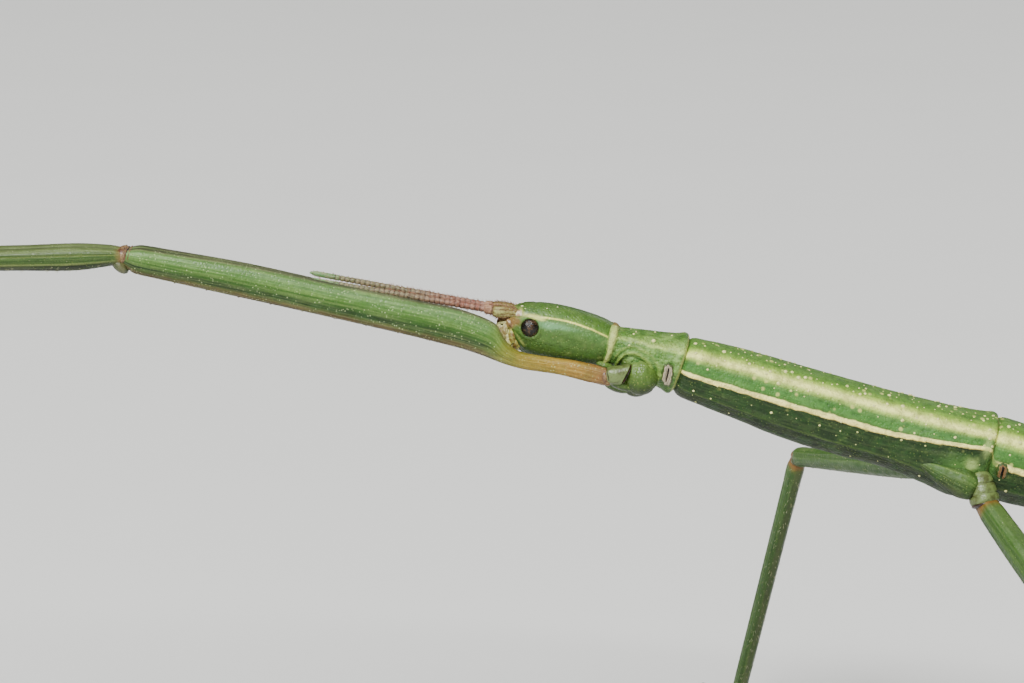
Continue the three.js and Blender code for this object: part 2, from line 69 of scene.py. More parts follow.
class Side(Enum):
    """The two sides of the animal, by the sign of y."""

    LEFT = -1
    RIGHT = 1

    @property
    def word(self) -> str:
        """The side's name as the solids spell it."""
        return self.name.lower()


# ---------------- sizes

HEAD_HEIGHT = 29.3
ANKLE_HEIGHT = 0.45
TARSUS_AXIS = 0.27

# Trunk plates: name, length, slope of the centreline at the front and at the back, in degrees.
PLATES: tuple[tuple[str, float, float, float], ...] = (
    ("head", 5.95, 10.8, 10.8), ("prothorax", 4.15, 17.3, 18.3), ("mesothorax", 17.4, 17.1, 16.1),
    ("metathorax", 13.0, 16.1, 15.4), ("median_segment", 2.2, 15.4, 15.2), ("abdomen_2", 6.6, 15.2, 14.8),
    ("abdomen_3", 7.6, 14.8, 13.9), ("abdomen_4", 8.0, 13.9, 12.6), ("abdomen_5", 7.8, 12.6, 11.2),
    ("abdomen_6", 6.8, 11.2, 9.8), ("abdomen_7", 4.8, 9.8, 8.8), ("abdomen_8", 3.3, 8.8, 8.2),
    ("abdomen_9", 2.1, 8.2, 8.0), ("abdomen_10", 1.9, 8.0, 8.0),
)

# Outlines: distance along, half width, height over and depth under the centreline.
HEAD_OUTLINE: Rows = (
    (0.0, 0.3, 0.34, 0.1), (0.25, 0.52, 0.6, 0.2), (0.5, 0.72, 0.84, 0.3), (0.8, 0.88, 1.08, 0.56),
    (1.1, 0.97, 1.3, 1.0), (1.4, 1.03, 1.39, 1.34), (2.0, 1.08, 1.48, 1.56), (2.8, 1.13, 1.53, 1.62),
    (3.8, 1.16, 1.5, 1.66), (4.7, 1.13, 1.4, 1.6), (5.5, 1.05, 1.26, 1.44), (6.0, 0.93, 1.1, 1.22),
    (6.2, 0.84, 1.0, 1.06),
)
NECK_OUTLINE: Rows = (
    (0.0, 0.76, 0.8, 1.1), (0.54, 0.9, 0.92, 1.24), (0.62, 1.12, 1.0, 1.32), (0.7, 1.2, 1.1, 1.38),
)
PROTHORAX_OUTLINE: Rows = (
    (0.0, 1.21, 1.12, 1.38), (0.18, 1.21, 1.11, 1.36), (0.3, 1.14, 1.03, 1.24), (0.4, 1.06, 0.98, 1.16),
    (0.8, 1.13, 1.05, 1.18), (1.6, 1.3, 1.2, 1.3), (2.9, 1.42, 1.46, 1.46), (3.85, 1.52, 1.68, 1.58),
    (4.15, 1.5, 1.66, 1.56),
)
MESOTHORAX_OUTLINE: Rows = (
    (0.0, 1.42, 1.54, 1.52), (0.5, 1.52, 1.64, 1.66), (3.3, 1.62, 1.82, 1.92), (6.5, 1.72, 1.84, 2.22),
    (9.5, 1.78, 1.87, 2.26), (12.3, 1.88, 1.93, 2.2), (14.4, 2.1, 2.02, 2.42), (15.8, 2.26, 2.12, 2.66),
    (16.8, 2.18, 2.24, 2.5), (17.4, 2.04, 2.24, 2.26),
)
METATHORAX_OUTLINE: Rows = (
    (0.0, 1.98, 2.14, 2.2), (0.5, 2.0, 2.2, 2.26), (3.5, 1.82, 2.06, 2.2), (7.0, 1.84, 2.0, 2.22),
    (9.6, 2.0, 2.02, 2.36), (11.4, 2.24, 2.08, 2.62), (12.4, 2.24, 2.1, 2.56), (13.0, 2.06, 2.1, 2.22),
)
ABDOMEN_OUTLINE: Rows = (
    (0.0, 2.0, 2.04, 2.1), (2.2, 1.94, 2.0, 1.94), (8.8, 1.84, 1.9, 1.82), (16.4, 1.76, 1.84, 1.76),
    (24.4, 1.66, 1.74, 1.66), (32.2, 1.5, 1.6, 1.5), (39.0, 1.34, 1.42, 1.34), (43.8, 1.2, 1.28, 1.22),
    (47.1, 1.08, 1.14, 1.08), (49.2, 0.96, 1.0, 0.8), (50.6, 0.8, 0.8, 0.5), (51.1, 0.5, 0.5, 0.3),
)
# Where the trunk's markings lie, by distance behind the collar: degrees from the top to the upper pale
# stripe, the side keel and the lower ridge.
LANES: Rows = (
    (0.0, 55.0, 88.0, 120.0), (4.2, 59.0, 92.6, 121.0), (7.0, 58.5, 92.4, 121.0),
    (10.0, 58.0, 91.9, 121.0), (12.2, 56.5, 91.0, 121.0), (15.8, 54.6, 90.2, 122.0),
    (17.0, 54.3, 87.2, 122.0), (18.1, 55.0, 84.0, 122.0), (19.1, 55.2, 80.0, 122.0),
    (20.2, 55.4, 76.4, 122.0), (21.4, 56.0, 75.6, 122.0), (21.7, 56.0, 89.5, 121.0),
    (26.0, 55.0, 90.0, 119.0), (30.0, 53.0, 88.0, 117.0), (34.5, 48.0, 84.0, 118.0),
    (60.0, 48.0, 88.0, 118.0), (86.0, 48.0, 90.0, 120.0),
)
# Degrees from the top to the pale line behind the eye, by distance behind the face.
HEAD_STRIPE: Rows = (
    (0.6, 67.0), (1.4, 61.0), (2.4, 57.0), (3.6, 56.0), (4.8, 60.5), (5.9, 70.0),
)

# The fore femur's outline counts in millimetres; the other limbs' count in shares of their length.
FORE_FEMUR_OUTLINE: Rows = (
    (0.0, 0.36, 0.5, 0.42), (1.7, 0.36, 0.44, 0.4), (2.6, 0.36, 0.34, 0.44), (3.5, 0.37, 0.24, 0.53),
    (4.2, 0.39, 0.19, 0.61), (4.8, 0.42, 0.19, 0.62), (5.2, 0.45, 0.31, 0.6), (5.65, 0.5, 0.58, 0.55),
    (5.95, 0.53, 0.9, 0.51), (6.2, 0.56, 1.2, 0.47), (6.5, 0.58, 1.37, 0.43), (7.1, 0.6, 1.5, 0.37),
    (7.8, 0.61, 1.58, 0.33), (8.8, 0.61, 1.63, 0.33), (10.5, 0.61, 1.53, 0.33), (15.0, 0.6, 1.33, 0.42),
    (20.0, 0.57, 1.15, 0.56), (24.6, 0.53, 0.76, 0.68), (25.8, 0.54, 0.64, 0.7), (26.1, 0.5, 0.56, 0.62),
    (26.6, 0.34, 0.34, 0.4),
)
STANDING_FEMUR_OUTLINE: Rows = (
    (0.0, 0.55, 0.57, 0.56), (0.06, 0.61, 0.66, 0.64), (0.25, 0.64, 0.8, 0.74), (0.6, 0.6, 0.7, 0.66),
    (0.93, 0.5, 0.56, 0.54), (0.98, 0.52, 0.58, 0.56), (1.0, 0.42, 0.44, 0.44),
)
FORE_TIBIA_OUTLINE: Rows = (
    (0.0, 0.38, 0.32, 0.34), (0.03, 0.46, 0.46, 0.48), (0.1, 0.5, 0.58, 0.68), (0.22, 0.48, 0.52, 0.62),
    (0.5, 0.46, 0.5, 0.5), (0.96, 0.4, 0.42, 0.4), (1.0, 0.34, 0.36, 0.32),
)
TIBIA_OUTLINE: Rows = (
    (0.0, 0.36, 0.38, 0.38), (0.04, 0.44, 0.5, 0.48), (0.12, 0.42, 0.48, 0.44), (0.6, 0.38, 0.42, 0.4),
    (0.96, 0.36, 0.38, 0.36), (1.0, 0.3, 0.32, 0.3),
)
TARSUS_OUTLINE: Rows = (
    (0.0, 0.2, 0.2, 0.2), (0.04, 0.25, 0.25, 0.26), (0.3, 0.25, 0.25, 0.33), (0.42, 0.26, 0.25, 0.35),
    (0.45, 0.18, 0.18, 0.18), (0.48, 0.2, 0.2, 0.24), (0.58, 0.26, 0.25, 0.35), (0.68, 0.27, 0.25, 0.35),
    (0.71, 0.17, 0.17, 0.17), (0.74, 0.19, 0.19, 0.24), (0.8, 0.23, 0.22, 0.32), (0.83, 0.17, 0.17, 0.17),
    (0.86, 0.18, 0.18, 0.24), (0.96, 0.25, 0.24, 0.34), (1.0, 0.16, 0.16, 0.2),
)


# ---------------- tables and frames


def table_at(rows: Sequence[Row], at: float) -> list[float]:
    """Reads a table between its rows, by a cubic through them.

    Args:
        rows: rows of a place followed by values, in rising order of place.
        at: the place to read.

    Returns:
        The values there; they stay level past the table's ends.
    """
    last = len(rows) - 1
    if at <= rows[0][0]:
        return list(rows[0][1:])
    if at >= rows[last][0]:
        return list(rows[last][1:])
    i = next(k for k, row in enumerate(rows) if row[0] > at) - 1
    a, b = rows[i], rows[i + 1]
    span = b[0] - a[0]
    t = (at - a[0]) / span

    def slope(k: int, column: int) -> float:
        """How steeply a column runs through a row, by the rows on its two sides."""
        before, after = rows[max(k - 1, 0)], rows[min(k + 1, last)]
        return (after[column] - before[column]) / (after[0] - before[0]) * span

    values = []
    for column in range(1, len(a)):
        p, q = a[column], b[column]
        m, n = slope(i, column), slope(i + 1, column)
        rise = smooth(t, 0, 1)
        values.append(p + (q - p) * rise + m * t * (1 - t) ** 2 - n * t * t * (1 - t))
    return values


def hump(value: float, centre: float, width: float) -> float:
    """A bell of height 1 at its centre, fallen to about a third at the given width."""
    return math.exp(-(((value - centre) / width) ** 2))


def smooth(value: float, low: float, high: float) -> float:
    """A soft step that leaves 0 at low and reaches 1 at high."""
    t = min(1.0, max(0.0, (value - low) / (high - low)))
    return t * t * (3 - 2 * t)


@dataclass(frozen=True)
class Pose:
    """A point on a body's axis with the two directions of its cross-section."""

    point: Vector
    out: Vector
    up: Vector


class Trunk:
    """The centreline that the trunk's plates are strung on."""

    @staticmethod
    def at(distance: float) -> Pose:
        """The centreline at a distance behind the face.

        Args:
            distance: millimetres behind the face.

        Returns:
            The point, the way to the animal's right and the way up across the plate.
        """
        tiny = 1e-9
        point = Vector((0.0, 0.0, HEAD_HEIGHT))
        left = distance
        for index, (_, length, first, last) in enumerate(PLATES):
            within = left if index == len(PLATES) - 1 else min(left, length)
            bend = math.radians(last - first) / length
            start = math.radians(first)
            end = start + bend * within
            if abs(bend) < tiny:
                point.x += within * math.cos(start)
                point.z -= within * math.sin(start)
            else:
                point.x += (math.sin(end) - math.sin(start)) / bend
                point.z += (math.cos(end) - math.cos(start)) / bend
            left -= within
            if left <= tiny:
                break
        return Pose(point, Vector((0, 1, 0)), Vector((math.sin(end), 0, math.cos(end))))

    @staticmethod
    def start(name: str) -> float:
        """How far behind the face a plate begins."""
        names = [plate for plate, *_ in PLATES]
        return sum(length for _, length, _, _ in PLATES[: names.index(name)])

    @classmethod
    def beside(cls, name: str, along: float, out: float, up: float) -> Vector:
        """A point beside a plate's centreline: along it, out to the animal's right and up across it."""
        pose = cls.at(cls.start(name) + along)
        return pose.point + pose.up * up + Vector((0, out, 0))


# The eye's middle: behind the face, out and up; and how far behind it the eyeball is set.
EYE_CENTRE = (1.5, 0.96, 0.19)
EYE_SET_BACK = 0.13


def row_offset() -> Vector:
    """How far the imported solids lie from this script's layout, from the middle of the two eyes.

    Returns:
        The shift in millimetres.
    """
    corners = [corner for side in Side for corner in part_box(f"{side.word}_eye")]
    low = Vector([min(corner[k] for corner in corners) for k in range(3)])
    high = Vector([max(corner[k] for corner in corners) for k in range(3)])
    along, _, up = EYE_CENTRE
    return (low + high) / 2 / MM - Trunk.beside("head", along, 0, up)


TO_ROW = Matrix.Scale(MM, 4) @ Matrix.Translation(row_offset())


# ---------------- surfaces


class Surface:
    """A closed surface laid round an axis; along is in millimetres, angles are from the top."""

    squareness: float = 2.0

    def pose(self, along: float) -> Pose:
        """The axis at a place along it."""
        raise NotImplementedError

    def values(self, along: float) -> Sequence[float]:
        """Half width, height over and depth under the axis at a place along it."""
        raise NotImplementedError

    def relief(self, along: float, angle: float) -> float:
        """How far the surface stands out of its plain outline, in millimetres."""
        return 0.0

    def ring(self, along: float) -> tuple[Pose, Sequence[float]]:
        """The axis and the outline at a place, worked out once.

        Args:
            along: place on the axis.

        Returns:
            The pose, and half width, height over and depth under it.
        """
        known = self.__dict__.setdefault("known", {})
        if along not in known:
            known[along] = self.pose(along), self.values(along)[:3]
        return known[along]

    def section(self, along: float, angle: float) -> Pair:
        """The plain cross-section.

        Args:
            along: place on the axis.
            angle: angle from the top, in radians, to the right side when positive.

        Returns:
            How far out and how far up the surface lies there.
        """
        half, over, under = self.ring(along)[1]
        power = 2 / self.squareness
        s, c = math.sin(angle), math.cos(angle)
        out = half * math.copysign(abs(s) ** power, s)
        return out, (over if c > 0 else under) * math.copysign(abs(c) ** power, c)

    def at(self, along: float, angle: float, lift: float = 0.0, share: float = 1.0) -> Vector:
        """A point on or near the surface.

        Args:
            along: place on the axis.
            angle: angle from the top.
            lift: how far above the surface.
            share: 1 on the surface, 0 on the axis.

        Returns:
            The point.
        """
        pose = self.ring(along)[0]
        out, up = self.section(along, angle)
        reach = math.hypot(out, up)
        grown = share * (1 + (lift + self.relief(along, angle)) / max(reach, 1e-6))
        return pose.point + pose.out * (out * grown) + pose.up * (up * grown)

    def normal(self, along: float, angle: float) -> Vector:
        """The outward direction square to the surface.

        Args:
            along: place on the axis.
            angle: angle from the top.

        Returns:
            A unit vector.
        """
        step, turn = 0.03, 0.02
        by_along = self.at(along + step, angle) - self.at(along - step, angle)
        by_angle = self.at(along, angle + turn) - self.at(along, angle - turn)
        outward = by_angle.cross(by_along).normalized()
        away = self.at(along, angle) - self.ring(along)[0].point
        return outward if outward.dot(away) > 0 else -outward

    def marks(self, along: float, angle: float) -> dict[str, float]:
        """The values that the surface's finish reads at a place, by name."""
        return {}


# How far from the ends of a rod its ridges reach their full height.
RIDGE_FADE = 0.8


@dataclass
class Limb(Surface):
    """A straight or gently led rod; scale is its length as the outline counts it."""

    start: Vector
    end: Vector
    outline: Sequence[Row]
    squareness: float = 2.0
    scale: float = 1.0
    lead: Callable[[Vector], Vector] | None = None
    ridges: tuple[Triple, ...] = ()
    length: float = field(init=False)

    def __post_init__(self) -> None:
        """Works out the rod's own directions."""
        axis = self.end - self.start
        self.length = axis.length
        self.way = axis.normalized()
        self.side = self.way.cross(Vector((0, 0, 1))).normalized()
        self.over = self.side.cross(self.way).normalized()
        self.turn = Matrix((self.way, self.side, self.over)).transposed()
        self.per = self.scale / self.length

    def pose(self, along: float) -> Pose:
        """The axis at a distance from the start."""
        point = self.start + self.way * along
        return Pose(self.lead(point) if self.lead else point, self.side, self.over)

    def values(self, along: float) -> Sequence[float]:
        """The outline at a distance from the start."""
        return table_at(self.outline, along * self.per)

    def relief(self, along: float, angle: float) -> float:
        """Ridges that run the length of the rod, given as angle, width and height.

        Args:
            along: distance from its root.
            angle: the way round from the top, in radians.

        Returns:
            Height to add there.
        """
        turned = abs(math.degrees(angle))
        near = min(RIDGE_FADE, self.length / 4)
        root = smooth(along, 0, near)
        tip = 1 - smooth(along, self.length - near - 0.1, self.length - near / 4)
        return root * tip * sum(high * hump(turned, at, wide) for at, wide, high in self.ridges)

    def spot(self, share: float, over: float = 0.0) -> Vector:
        """A point on the straight axis at a share of its length, or over it."""
        return self.start + self.way * (share * self.length) + self.over * over

    def marks(self, along: float, angle: float) -> dict[str, float]:
        """Share of the length, and height in the section from 0 at the bottom to 1 at the top.

        Args:
            along: distance from its root.
            angle: the way round from the top, in radians.

        Returns:
            The stored values.
        """
        _, over, under = self.ring(along)[1]
        _, up = self.section(along, angle)
        return {"along": along / self.length, "rise": (up + under) / (over + under)}


# Where the closer places stand within a rim.
RIM_SHARES = (0.12, 0.3, 0.6, 1.0)


def spaced(start: float, end: float, step: float, rims: float = 0.0) -> list[float]:
    """Evenly spaced places, closer together at both ends.

    Args:
        start: first place.
        end: last place.
        step: the widest spacing.
        rims: how far in from each end the close spacing reaches.

    Returns:
        The places in order.
    """
    count = max(2, math.ceil((end - start) / step))
    places = {round(start + (end - start) * i / count, 5) for i in range(count + 1)}
    for share in RIM_SHARES if rims else ():
        places |= {round(start + rims * share, 5), round(end - rims * share, 5)}
    return sorted(places)


# ---------------- finishes


def linear(colour: Colour) -> Row:
    """A colour of 0 to 255, as a screen shows it, as linear light with alpha 1."""
    parts = [part / 255 for part in colour]
    return *(c / 12.92 if c <= 0.04045 else ((c + 0.055) / 1.055) ** 2.4 for c in parts), 1.0


def skin_tone(colour: Colour) -> Row:
    """A colour of 0 to 255 as linear light, deepened, as soft light washes thin skin out."""
    red, green, blue, _ = linear(colour)
    return 0.95 * red**1.36, 0.98 * green**1.42, 0.98 * blue**1.58, 1.0


class Shade:
    """A material's node tree, put together a step at a time."""

    def __init__(self, name: str, tone: Callable[[Colour], Row] = skin_tone) -> None:
        """Starts a material with a plain shader.

        Args:
            name: the material's name.
            tone: turns a colour into linear light.
        """
        self.tone = tone
        self.material = bpy.data.materials.new(name)
        self.material.use_nodes = True
        self.tree = self.material.node_tree
        self.shader = self.tree.nodes["Principled BSDF"]
        self.here = self.add("ShaderNodeTexCoord").outputs["Object"]

    def add(self, kind: str, **settings: object) -> bpy.types.Node:
        """Adds a node.

        Args:
            kind: the node's type.
            settings: attributes to set on it.

        Returns:
            The node.
        """
        node = self.tree.nodes.new(kind)
        for name, value in settings.items():
            setattr(node, name, value)
        return node

    def feed(self, node: bpy.types.Node, slot: str | int, value: object) -> None:
        """Sets or links one input.

        Args:
            node: the node.
            slot: the input's name or number.
            value: a socket to link, or a plain value.
        """
        if isinstance(value, Socket):
            self.tree.links.new(value, node.inputs[slot])
        else:
            node.inputs[slot].default_value = value

    def mark(self, name: str) -> Socket:
        """The socket of a value that is stored on the piece's points."""
        return self.add("ShaderNodeAttribute", attribute_name=name).outputs["Fac"]

    def made(
        self, kind: str, output: str | int, feeds: dict[str | int, object], **settings: object
    ) -> Socket:
        """Adds a node with its inputs fed.

        Args:
            kind: the node's type.
            output: the output that is wanted, by name or number.
            feeds: inputs by name or number, as plain values or sockets to link.
            settings: attributes to set on the node.

        Returns:
            The output's socket.
        """
        node = self.add(kind, **settings)
        for slot, value in feeds.items():
            self.feed(node, slot, value)
        return node.outputs[output]

    def maths(self, operation: str, a: object, b: object = 0.0, c: object = 0.0) -> Socket:
        """One step of arithmetic, by Blender's name for it."""
        return self.made("ShaderNodeMath", 0, {0: a, 1: b, 2: c}, operation=operation)

    def times(self, a: object, b: object) -> Socket:
        """The product of two values."""
        return self.maths("MULTIPLY", a, b)

    def shift(self, value: Socket, by: object, amount: float) -> Socket:
        """A value moved by so much of another."""
        return self.maths("MULTIPLY_ADD", by, amount, value)

    def ramp(self, value: object, stops: Iterable[Stop]) -> Socket:
        """Colours by a value from 0 to 1.

        Args:
            value: the value's socket.
            stops: places and colours.

        Returns:
            The colour's socket.
        """
        node = self.add("ShaderNodeValToRGB")
        elements = node.color_ramp.elements
        ordered = sorted(stops)
        while len(elements) < len(ordered):
            elements.new(0.5)
        for element, (place, colour) in zip(elements, ordered):
            element.position = place
            element.color = self.tone(colour)
        self.feed(node, 0, value)
        return node.outputs["Color"]

    def steps(self, value: object, low: float, high: float) -> Socket:
        """A soft step that leaves 0 at one value and reaches 1 at another."""
        feeds = {"Value": value, "From Min": low, "From Max": high}
        return self.made("ShaderNodeMapRange", "Result", feeds, interpolation_type="SMOOTHSTEP")

    def speckle(self, scale: float, detail: float = 3.0, rough: float = 0.55) -> Socket:
        """Cloudy noise from 0 to 1: cells per metre, octaves, and how strongly the fine ones show."""
        feeds = {"Vector": self.here, "Scale": scale, "Detail": detail, "Roughness": rough}
        return self.made("ShaderNodeTexNoise", "Fac", feeds)

    def cells(self, scale: float) -> Socket:
        """Distance to the nearest of many scattered points, so many to a metre."""
        return self.made("ShaderNodeTexVoronoi", "Distance", {"Vector": self.here, "Scale": scale})

    def mix(self, factor: object, a: object, b: object) -> Socket:
        """Mixes so much of the second colour into the first; each is a socket or 0 to 255."""
        first, second = (self.tone(part) if isinstance(part, tuple) else part for part in (a, b))
        return self.made("ShaderNodeMix", 2, {0: factor, 6: first, 7: second}, data_type="RGBA")

    def veil(self, mask: object, amount: float, under: object, over: object) -> Socket:
        """A colour laid over another where a mask is, as strongly as the amount."""
        return self.mix(self.times(mask, amount), under, over)

    def finish(
        self, colour: object, rough: object, height: object, depth: float, **plain: float
    ) -> Material:
        """Joins the steps to the shader.

        Args:
            colour: base colour's socket.
            rough: roughness, as a value or a socket.
            height: the relief's socket, 0 to 1.
            depth: the relief's depth in millimetres.
            plain: even values for the shader's other inputs, spaces written as underscores.

        Returns:
            The material.
        """
        feeds = {"Strength": 1.0, "Distance": depth * MM, "Height": height}
        normal = self.made("ShaderNodeBump", "Normal", feeds)
        plain_inputs = {name.replace("_", " "): value for name, value in plain.items()}
        inputs = {"Base Color": colour, "Roughness": rough, "Normal": normal, **plain_inputs}
        for name, value in inputs.items():
            self.feed(self.shader, name, value)
        return self.material


@dataclass(frozen=True)
class Cuticle:
    """Leathery skin whose stripes follow a value stored on the piece."""

    name: str
    mark: str
    stripes: tuple[Stop, ...]
    scale: float = 1.0
    wander: float = 0.012
    clouds: Colour = (70, 118, 62)
    clouding: float = 0.3
    dots: Colour = (176, 192, 128)
    dotting: float = 0.35
    lengthwise: tuple[Stop, ...] = ()
    keep: Pair = (0.0, 0.0)
    streaks: Pair = (26.0, 0.9)
    streaking: float = 0.25
    rough: float = 0.42
    grain: float = 0.05
    blotches: float = 0.0
    blotch: Colour = (206, 208, 146)
    mottle: float = 0.3
    pits: float = 0.25
    shadow: Colour = (22, 44, 20)
    streak_tints: tuple[Colour, Colour] = ((38, 70, 32), (205, 220, 165))
    patches: tuple[tuple[str, float, Colour], ...] = ()

    def material(self) -> Material:
        """Builds the finish: stripes, lines, clouds, pits, fine dots, patches and a grainy relief.

        Returns:
            The material.
        """
        shade = Shade(self.name)
        across = shade.times(shade.mark(self.mark), self.scale)
        along = shade.mark("along")
        drift = shade.maths("SUBTRACT", shade.speckle(1700, 4), 0.5)
        colour = self.ground(shade, across, along, drift)
        lines = self.lines(shade, across, along)
        dark, pale = (shade.mix(part, colour, tint) for part, tint in zip((0.5, 0.3), self.streak_tints))
        colour = shade.mix(self.streaking, colour, shade.mix(lines, dark, pale))
        cloud = shade.steps(shade.speckle(1250, 5, 0.6), 0.42, 0.66)
        colour = shade.veil(cloud, self.clouding, colour, self.clouds)
        deep = shade.mix(0.6, colour, self.shadow)
        speck = shade.steps(shade.speckle(4300, 4, 0.75), 0.46, 0.62)
        colour = shade.veil(speck, self.mottle, colour, deep)
        pit = shade.steps(shade.cells(4700), 0.26, 0.1)
        colour = shade.veil(pit, self.pits, colour, deep)
        spots = shade.cells(6200)
        near = shade.steps(spots, 0.3, 0.12)
        patch = shade.steps(shade.speckle(2100, 3), 0.4, 0.62)
        colour = shade.veil(shade.times(near, patch), self.dotting, colour, self.dots)
        if self.blotches:
            spread = shade.steps(shade.cells(1500), 0.24, 0.1)
            upper = shade.steps(across, 0.62, 0.4)
            colour = shade.veil(shade.times(spread, upper), self.blotches, colour, self.blotch)
        for mark, amount, tint in self.patches:
            soft = shade.steps(shade.shift(shade.mark(mark), drift, 0.9), 0.05, 0.95)
            colour = shade.veil(soft, amount, colour, tint)
        grain = shade.mix(0.35, shade.steps(spots, 0.0, 0.6), lines)
        height = shade.mix(0.3, grain, shade.speckle(5200, 4))
        rough = shade.maths("MULTIPLY_ADD", patch, 0.16, self.rough - 0.05)
        return shade.finish(colour, rough, height, self.grain, Specular_IOR_Level=0.32)

    def ground(self, shade: Shade, across: Socket, along: Socket, drift: Socket) -> Socket:
        """The stripes, and the colours that lead into them from the piece's root.

        Args:
            shade: the material under way.
            across: the value that the stripes follow.
            along: the value that runs with the piece.
            drift: noise about 0 that makes the borders wander.

        Returns:
            The colour.
        """
        colour = shade.ramp(shade.shift(across, drift, self.wander), self.stripes)
        if self.lengthwise:
            shifted = shade.shift(along, drift, 0.03)
            base = shade.ramp(shifted, self.lengthwise)
            colour = shade.mix(shade.steps(shifted, *self.keep), base, colour)
        return colour

    def lines(self, shade: Shade, across: Socket, along: Socket) -> Socket:
        """Fine lines that run with the piece.

        Args:
            shade: the material under way.
            across: the value that the stripes follow.
            along: the value that runs with the piece.

        Returns:
            A value from 0 to 1.
        """
        combine = shade.add("ShaderNodeCombineXYZ")
        for slot, (value, scale) in enumerate(zip((across, along), self.streaks)):
            shade.feed(combine, slot, shade.times(value, scale))
        feeds = {"Vector": combine.outputs[0], "Scale": 1.0, "Detail": 3.0}
        streak = shade.made("ShaderNodeTexNoise", "Fac", feeds, noise_dimensions="2D")
        return shade.steps(streak, 0.35, 0.7)


@dataclass(frozen=True)
class Glaze:
    """A plain-coloured finish with clouds, grain and its own gloss."""

    name: str
    body: Colour
    cloud: Colour
    rough: float = 0.45
    scale: float = 2400
    grain: float = 0.03
    coat: float = 0.0
    along: tuple[Stop, ...] = ()
    joint: Colour | None = None

    def material(self) -> Material:
        """Builds the finish.

        Returns:
            The material.
        """
        shade = Shade(self.name)
        drift = shade.speckle(self.scale, 4, 0.6)
        colour: object = self.body
        if self.along:
            centred = shade.maths("SUBTRACT", drift, 0.5)
            colour = shade.ramp(shade.shift(shade.mark("along"), centred, 0.04), self.along)
        spread = shade.steps(drift, 0.4, 0.64)
        cloud: object = shade.mix(0.35, colour, self.cloud) if self.along else self.cloud
        colour = shade.mix(spread, colour, cloud)
        if self.joint:
            colour = shade.mix(shade.mark("joint"), colour, self.joint)
        rough = shade.maths("MULTIPLY_ADD", drift, 0.2, self.rough - 0.1)
        height = shade.mix(0.4, shade.cells(self.scale * 3.4), drift)
        return shade.finish(colour, rough, height, self.grain, Coat_Weight=self.coat)


@dataclass(frozen=True)
class EyeGlass:
    """The faceted eye: nearly black, mottled with brown, under a clear shine."""

    name: str = "eye_facets"
    facet: float = 22000
    dark: Colour = (9, 9, 11)
    brown: Colour = (116, 96, 80)
    fleck: Colour = (120, 108, 92)

    def material(self) -> Material:
        """Builds the finish.

        Returns:
            The material.
        """
        shade = Shade(self.name)
        blot = shade.steps(shade.speckle(3600, 5, 0.8), 0.47, 0.68)
        colour = shade.mix(blot, self.dark, self.brown)
        facets = shade.cells(self.facet)
        pale = shade.steps(shade.cells(9000), 0.16, 0.06)
        colour = shade.veil(pale, 0.35, colour, self.fleck)
        rough = shade.maths("MULTIPLY_ADD", blot, 0.2, 0.2)
        return shade.finish(colour, rough, facets, 0.014, Specular_IOR_Level=0.4)


@dataclass(frozen=True)
class Spiracle:
    """Lips of a breathing hole, fleshy round a black slit."""

    name: str = "spiracle_lips"
    ring: Colour = (204, 196, 180)
    fold: Colour = (88, 72, 60)
    gape: float = 0.1

    def material(self) -> Material:
        """Builds the finish.

        Returns:
            The material.
        """
        shade = Shade(self.name)
        drift = shade.maths("SUBTRACT", shade.speckle(5200, 4, 0.65), 0.5)
        place = shade.shift(shade.mark("rise"), drift, 0.4)
        stops = (
            (0.0, (10, 8, 7)), (self.gape, (30, 22, 18)), (self.gape + 0.05, self.fold),
            (self.gape + 0.13, self.ring), (0.34, self.fold), (0.43, self.ring), (0.56, self.fold),
            (0.68, self.ring), (0.84, (112, 112, 80)), (1.0, (76, 104, 58)),
        )
        colour = shade.ramp(place, stops)
        return shade.finish(colour, 0.42, shade.speckle(7000, 4), 0.05)


# ---------------- pieces


def meshed(name: str, form: bmesh.types.BMesh) -> bpy.types.Mesh:
    """Turns a form under way into a mesh, and lets go of it.

    Args:
        name: the mesh's name.
        form: the form.

    Returns:
        The mesh.
    """
    mesh = bpy.data.meshes.new(name)
    form.to_mesh(mesh)
    form.free()
    return mesh


def placed(name: str, data: bpy.types.ID) -> bpy.types.Object:
    """Puts a new object in the scene.

    Args:
        name: its name.
        data: its mesh, lens or lamp.

    Returns:
        The object.
    """
    thing = bpy.data.objects.new(name, data)
    bpy.context.scene.collection.objects.link(thing)
    return thing


